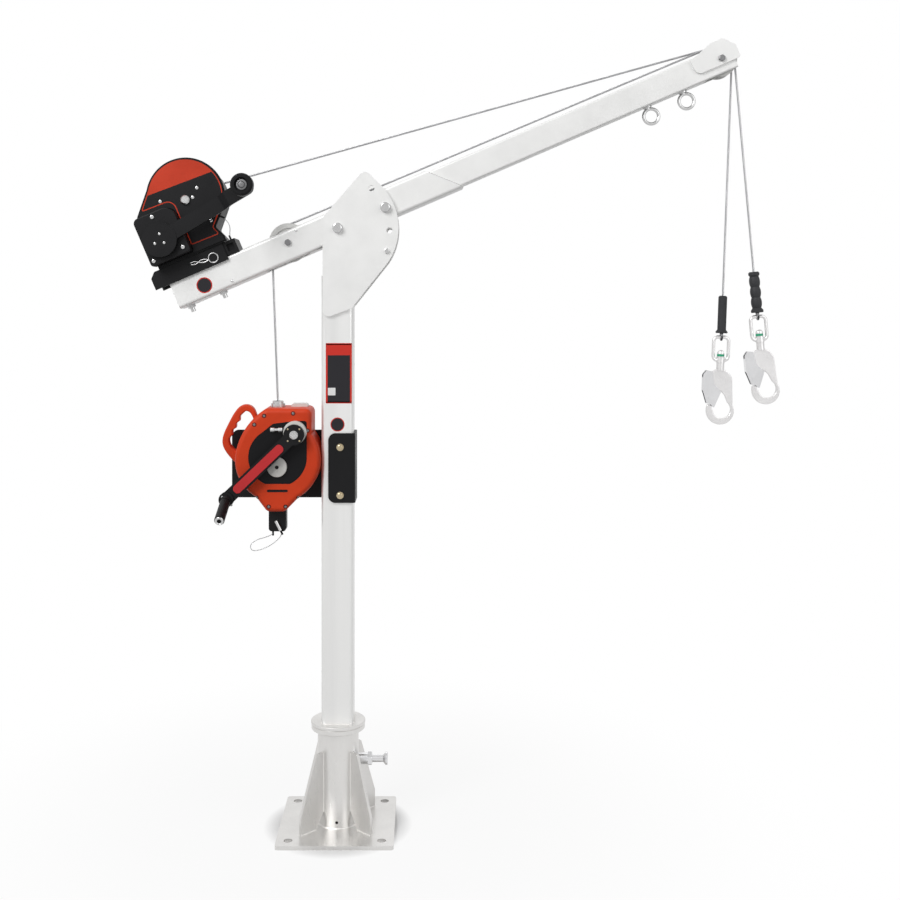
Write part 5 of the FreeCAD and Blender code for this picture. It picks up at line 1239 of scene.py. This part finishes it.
@dataclass
class BaseTrim(SubAssembly):
    """Weld beads of the base: gussets to sleeve and plate, sleeve to plate and to flange."""

    body: str = "base"
    plate_top: float = 10.0
    sleeve: float = 52.0
    sleeve_top: float = 248.0
    gusset_half: float = 4.0
    gusset_top: float = 197.0
    gusset_opening: Pair = (24.0, 40.0)
    gusset_reach: float = 124.0
    weld: float = 2.3
    weld_sides: int = 10
    ring_steps: int = 136

    def build(self) -> None:
        """Make the straight beads and the two rings."""
        spread, rise = self.gusset_opening
        foot = self.plate_top + rise
        inner = self.sleeve + spread
        out = math.sqrt(self.sleeve ** 2 - self.gusset_half ** 2)
        uprights, feet = [], []
        for index in range(4):
            turn = Matrix.Rotation(QUARTER_TURN * (index + 0.5), 4, "Z")
            for side in (-self.gusset_half, self.gusset_half):
                uprights.append(turn @ Matrix.Translation((out, side, foot)))
                feet.append(turn @ aimed(Vector((inner, side, self.plate_top)), Vector((1.0, 0.0, 0.0))))
        side_welds = bead(self.gusset_top - foot, self.weld).placed(*uprights)
        self.add("gusset_side_welds", side_welds, "stainless", WELD)
        foot_welds = bead(self.gusset_reach - inner, self.weld).placed(*feet)
        self.add("gusset_foot_welds", foot_welds, "stainless", WELD)
        self._ring("sleeve_foot_weld", self.plate_top)
        self._ring("sleeve_top_weld", self.sleeve_top)

    def _ring(self, name: str, height: float) -> None:
        """Make a weld ring round the sleeve.

        Args:
            name: The ring's name.
            height: Its height.
        """
        ring = Shape()
        place = aimed(Vector((self.sleeve, 0.0, height)), Vector((0.0, 1.0, 0.0)))
        section = bmesh.ops.create_circle(ring.mesh, segments=self.weld_sides, radius=self.weld,
                                          matrix=place)["verts"]
        edges = {edge for corner in section for edge in corner.link_edges}
        bmesh.ops.spin(ring.mesh, geom=[*section, *edges], cent=ORIGIN, axis=UP, angle=math.tau,
                       steps=self.ring_steps, use_merge=True)
        self.add(name, ring, "stainless", WELD)


PARTS = (
    TautRopes(),
    HookLine(),
    HookLine(name="lifeline", grip="lifeline_hand_grip", lean=LIFELINE_LEAN, y=-ROPE_Y, fall=544.0,
             grip_length=104.0),
    Lanyard(name="lug_lanyard", route=lug_route()),
    Lanyard(name="pin_lanyard", route=pin_route()),
    WinchTrim(),
    LifelineTrim(),
    MastTrim(),
    BoomTrim(),
    BaseTrim(),
)


@dataclass(frozen=True)
class Lamp:
    """One soft square lamp: its place, the point that it faces and its size in metres, and its watts."""

    name: str
    place: Triple
    target: Triple
    size: float
    power: float

    def build(self) -> None:
        """Put the lamp in the scene."""
        data = bpy.data.lights.new(self.name, "AREA")
        data.size = self.size
        data.energy = self.power
        lamp = link(self.name, data)
        lamp.location = self.place
        way = Vector(self.target) - Vector(self.place)
        lamp.rotation_euler = way.to_track_quat("-Z", "Y").to_euler()


LAMPS = (
    Lamp("key_light", (-2.4, -3.2, 4.0), (0.2, 0.0, 1.1), 2.4, 160.0),
    Lamp("fill_light", (3.4, -2.8, 2.6), (0.3, 0.0, 1.0), 3.0, 46.0),
    Lamp("back_light", (0.6, 3.6, 3.8), (0.2, 0.0, 1.2), 3.0, 18.0),
)
WHITE = (1.0, 1.0, 1.0, 1.0)


@dataclass(frozen=True)
class Studio:
    """Plain pale floor, soft light and the photograph's camera, in metres."""

    focal_pixels: float = 1163.0
    image_pixels: float = 900.0
    axis_pixel: Pair = (423.0, 307.0)
    eye: Triple = (0.2166, -2.972, 1.321)
    sensor: float = 36.0
    floor_half: float = 14.0
    floor_roughness: float = 0.9
    floor_tone: float = 0.8
    bounce_tone: float = 0.22
    fade: Pair = (0.25, 1.3)
    contact: Pair = (0.15, 0.19)
    near_white: float = 0.88
    surround: float = 0.3
    mirrored: float = 0.85

    def build(self) -> None:
        """Make the camera, the floor and the lights."""
        self._camera()
        self._floor()
        for lamp in LAMPS:
            lamp.build()
        self._world()

    def _camera(self) -> None:
        """Make a camera with a level axis; the frame is shifted as in the photograph."""
        data = bpy.data.cameras.new("photo_camera")
        data.sensor_width = self.sensor
        data.lens = self.sensor * self.focal_pixels / self.image_pixels
        data.shift_x = 0.5 - self.axis_pixel[0] / self.image_pixels
        data.shift_y = self.axis_pixel[1] / self.image_pixels - 0.5
        camera = link("photo_camera", data)
        camera.location = self.eye
        camera.rotation_euler = (QUARTER_TURN, 0.0, 0.0)
        bpy.context.scene.camera = camera

    def _floor(self) -> None:
        """Make a pale floor that keeps the object's shadow and fades to white away from it."""
        shape = bmesh.new()
        bmesh.ops.create_grid(shape, x_segments=1, y_segments=1, size=self.floor_half)
        mesh = bpy.data.meshes.new("studio_floor")
        shape.to_mesh(mesh)
        shape.free()
        floor = link("studio_floor", mesh)
        pale = bpy.data.materials.new("studio_floor")
        pale.use_nodes = True
        self._floor_nodes(pale.node_tree)
        mesh.materials.append(pale)

    def _floor_nodes(self, tree: bpy.types.NodeTree) -> None:
        """Lay out the floor's material.

        Args:
            tree: The material's node tree.
        """
        path = add_node(tree, "LightPath", {}).outputs
        place = add_node(tree, "TexCoord", {}).outputs["Object"]
        far = add_node(tree, "VectorMath", {0: place}, operation="LENGTH").outputs["Value"]
        fade = add_node(tree, "MapRange", {
            "Value": far, "From Min": self.fade[0], "From Max": self.fade[1], "To Min": self.near_white},
            interpolation_type="SMOOTHSTEP")
        seen = add_node(tree, "Math", {0: path["Is Camera Ray"], 1: path["Is Glossy Ray"]},
                        operation="MAXIMUM")
        foot = add_node(tree, "MapRange", {
            "Value": far, "From Min": self.contact[0], "From Max": self.contact[1],
            "To Max": seen.outputs["Value"]})
        share = add_node(tree, "Math", {0: fade.outputs["Result"], 1: foot.outputs["Result"]},
                         operation="MULTIPLY")
        tone = add_node(tree, "MapRange", {
            "Value": path["Is Diffuse Ray"], "To Min": self.floor_tone, "To Max": self.bounce_tone})
        shader = feed(tree.nodes["Principled BSDF"], {
            "Base Color": tone.outputs["Result"], "Roughness": self.floor_roughness})
        glow = add_node(tree, "Emission", {})
        blend = add_node(tree, "MixShader", {
            "Fac": share.outputs["Value"], 1: shader.outputs["BSDF"], 2: glow.outputs["Emission"]})
        feed(tree.nodes["Material Output"], {"Surface": blend.outputs["Shader"]})

    def _world(self) -> None:
        """Make a white surround for the camera and for reflections, with softer light on the object."""
        world = bpy.data.worlds.new("studio")
        bpy.context.scene.world = world
        world.use_nodes = True
        tree = world.node_tree
        path = add_node(tree, "LightPath", {}).outputs
        mirror = add_node(tree, "MapRange", {
            "Value": path["Is Glossy Ray"], "To Min": self.surround, "To Max": self.mirrored})
        strength = add_node(tree, "Math", {0: path["Is Camera Ray"], 1: mirror.outputs["Result"]},
                            operation="MAXIMUM")
        feed(tree.nodes["Background"], {"Color": WHITE, "Strength": strength.outputs["Value"]})


def main() -> None:
    """Dress the frame's pieces, add the finer ones and light the scene."""
    for dressing in DRESSINGS:
        dressing.apply()
    for part in PARTS:
        part.build()
    Studio().build()
    bpy.context.scene.view_settings.view_transform = "Standard"


if __name__ == "__main__":
    logging.basicConfig(level=logging.INFO, format="%(name)s %(message)s")
    main()
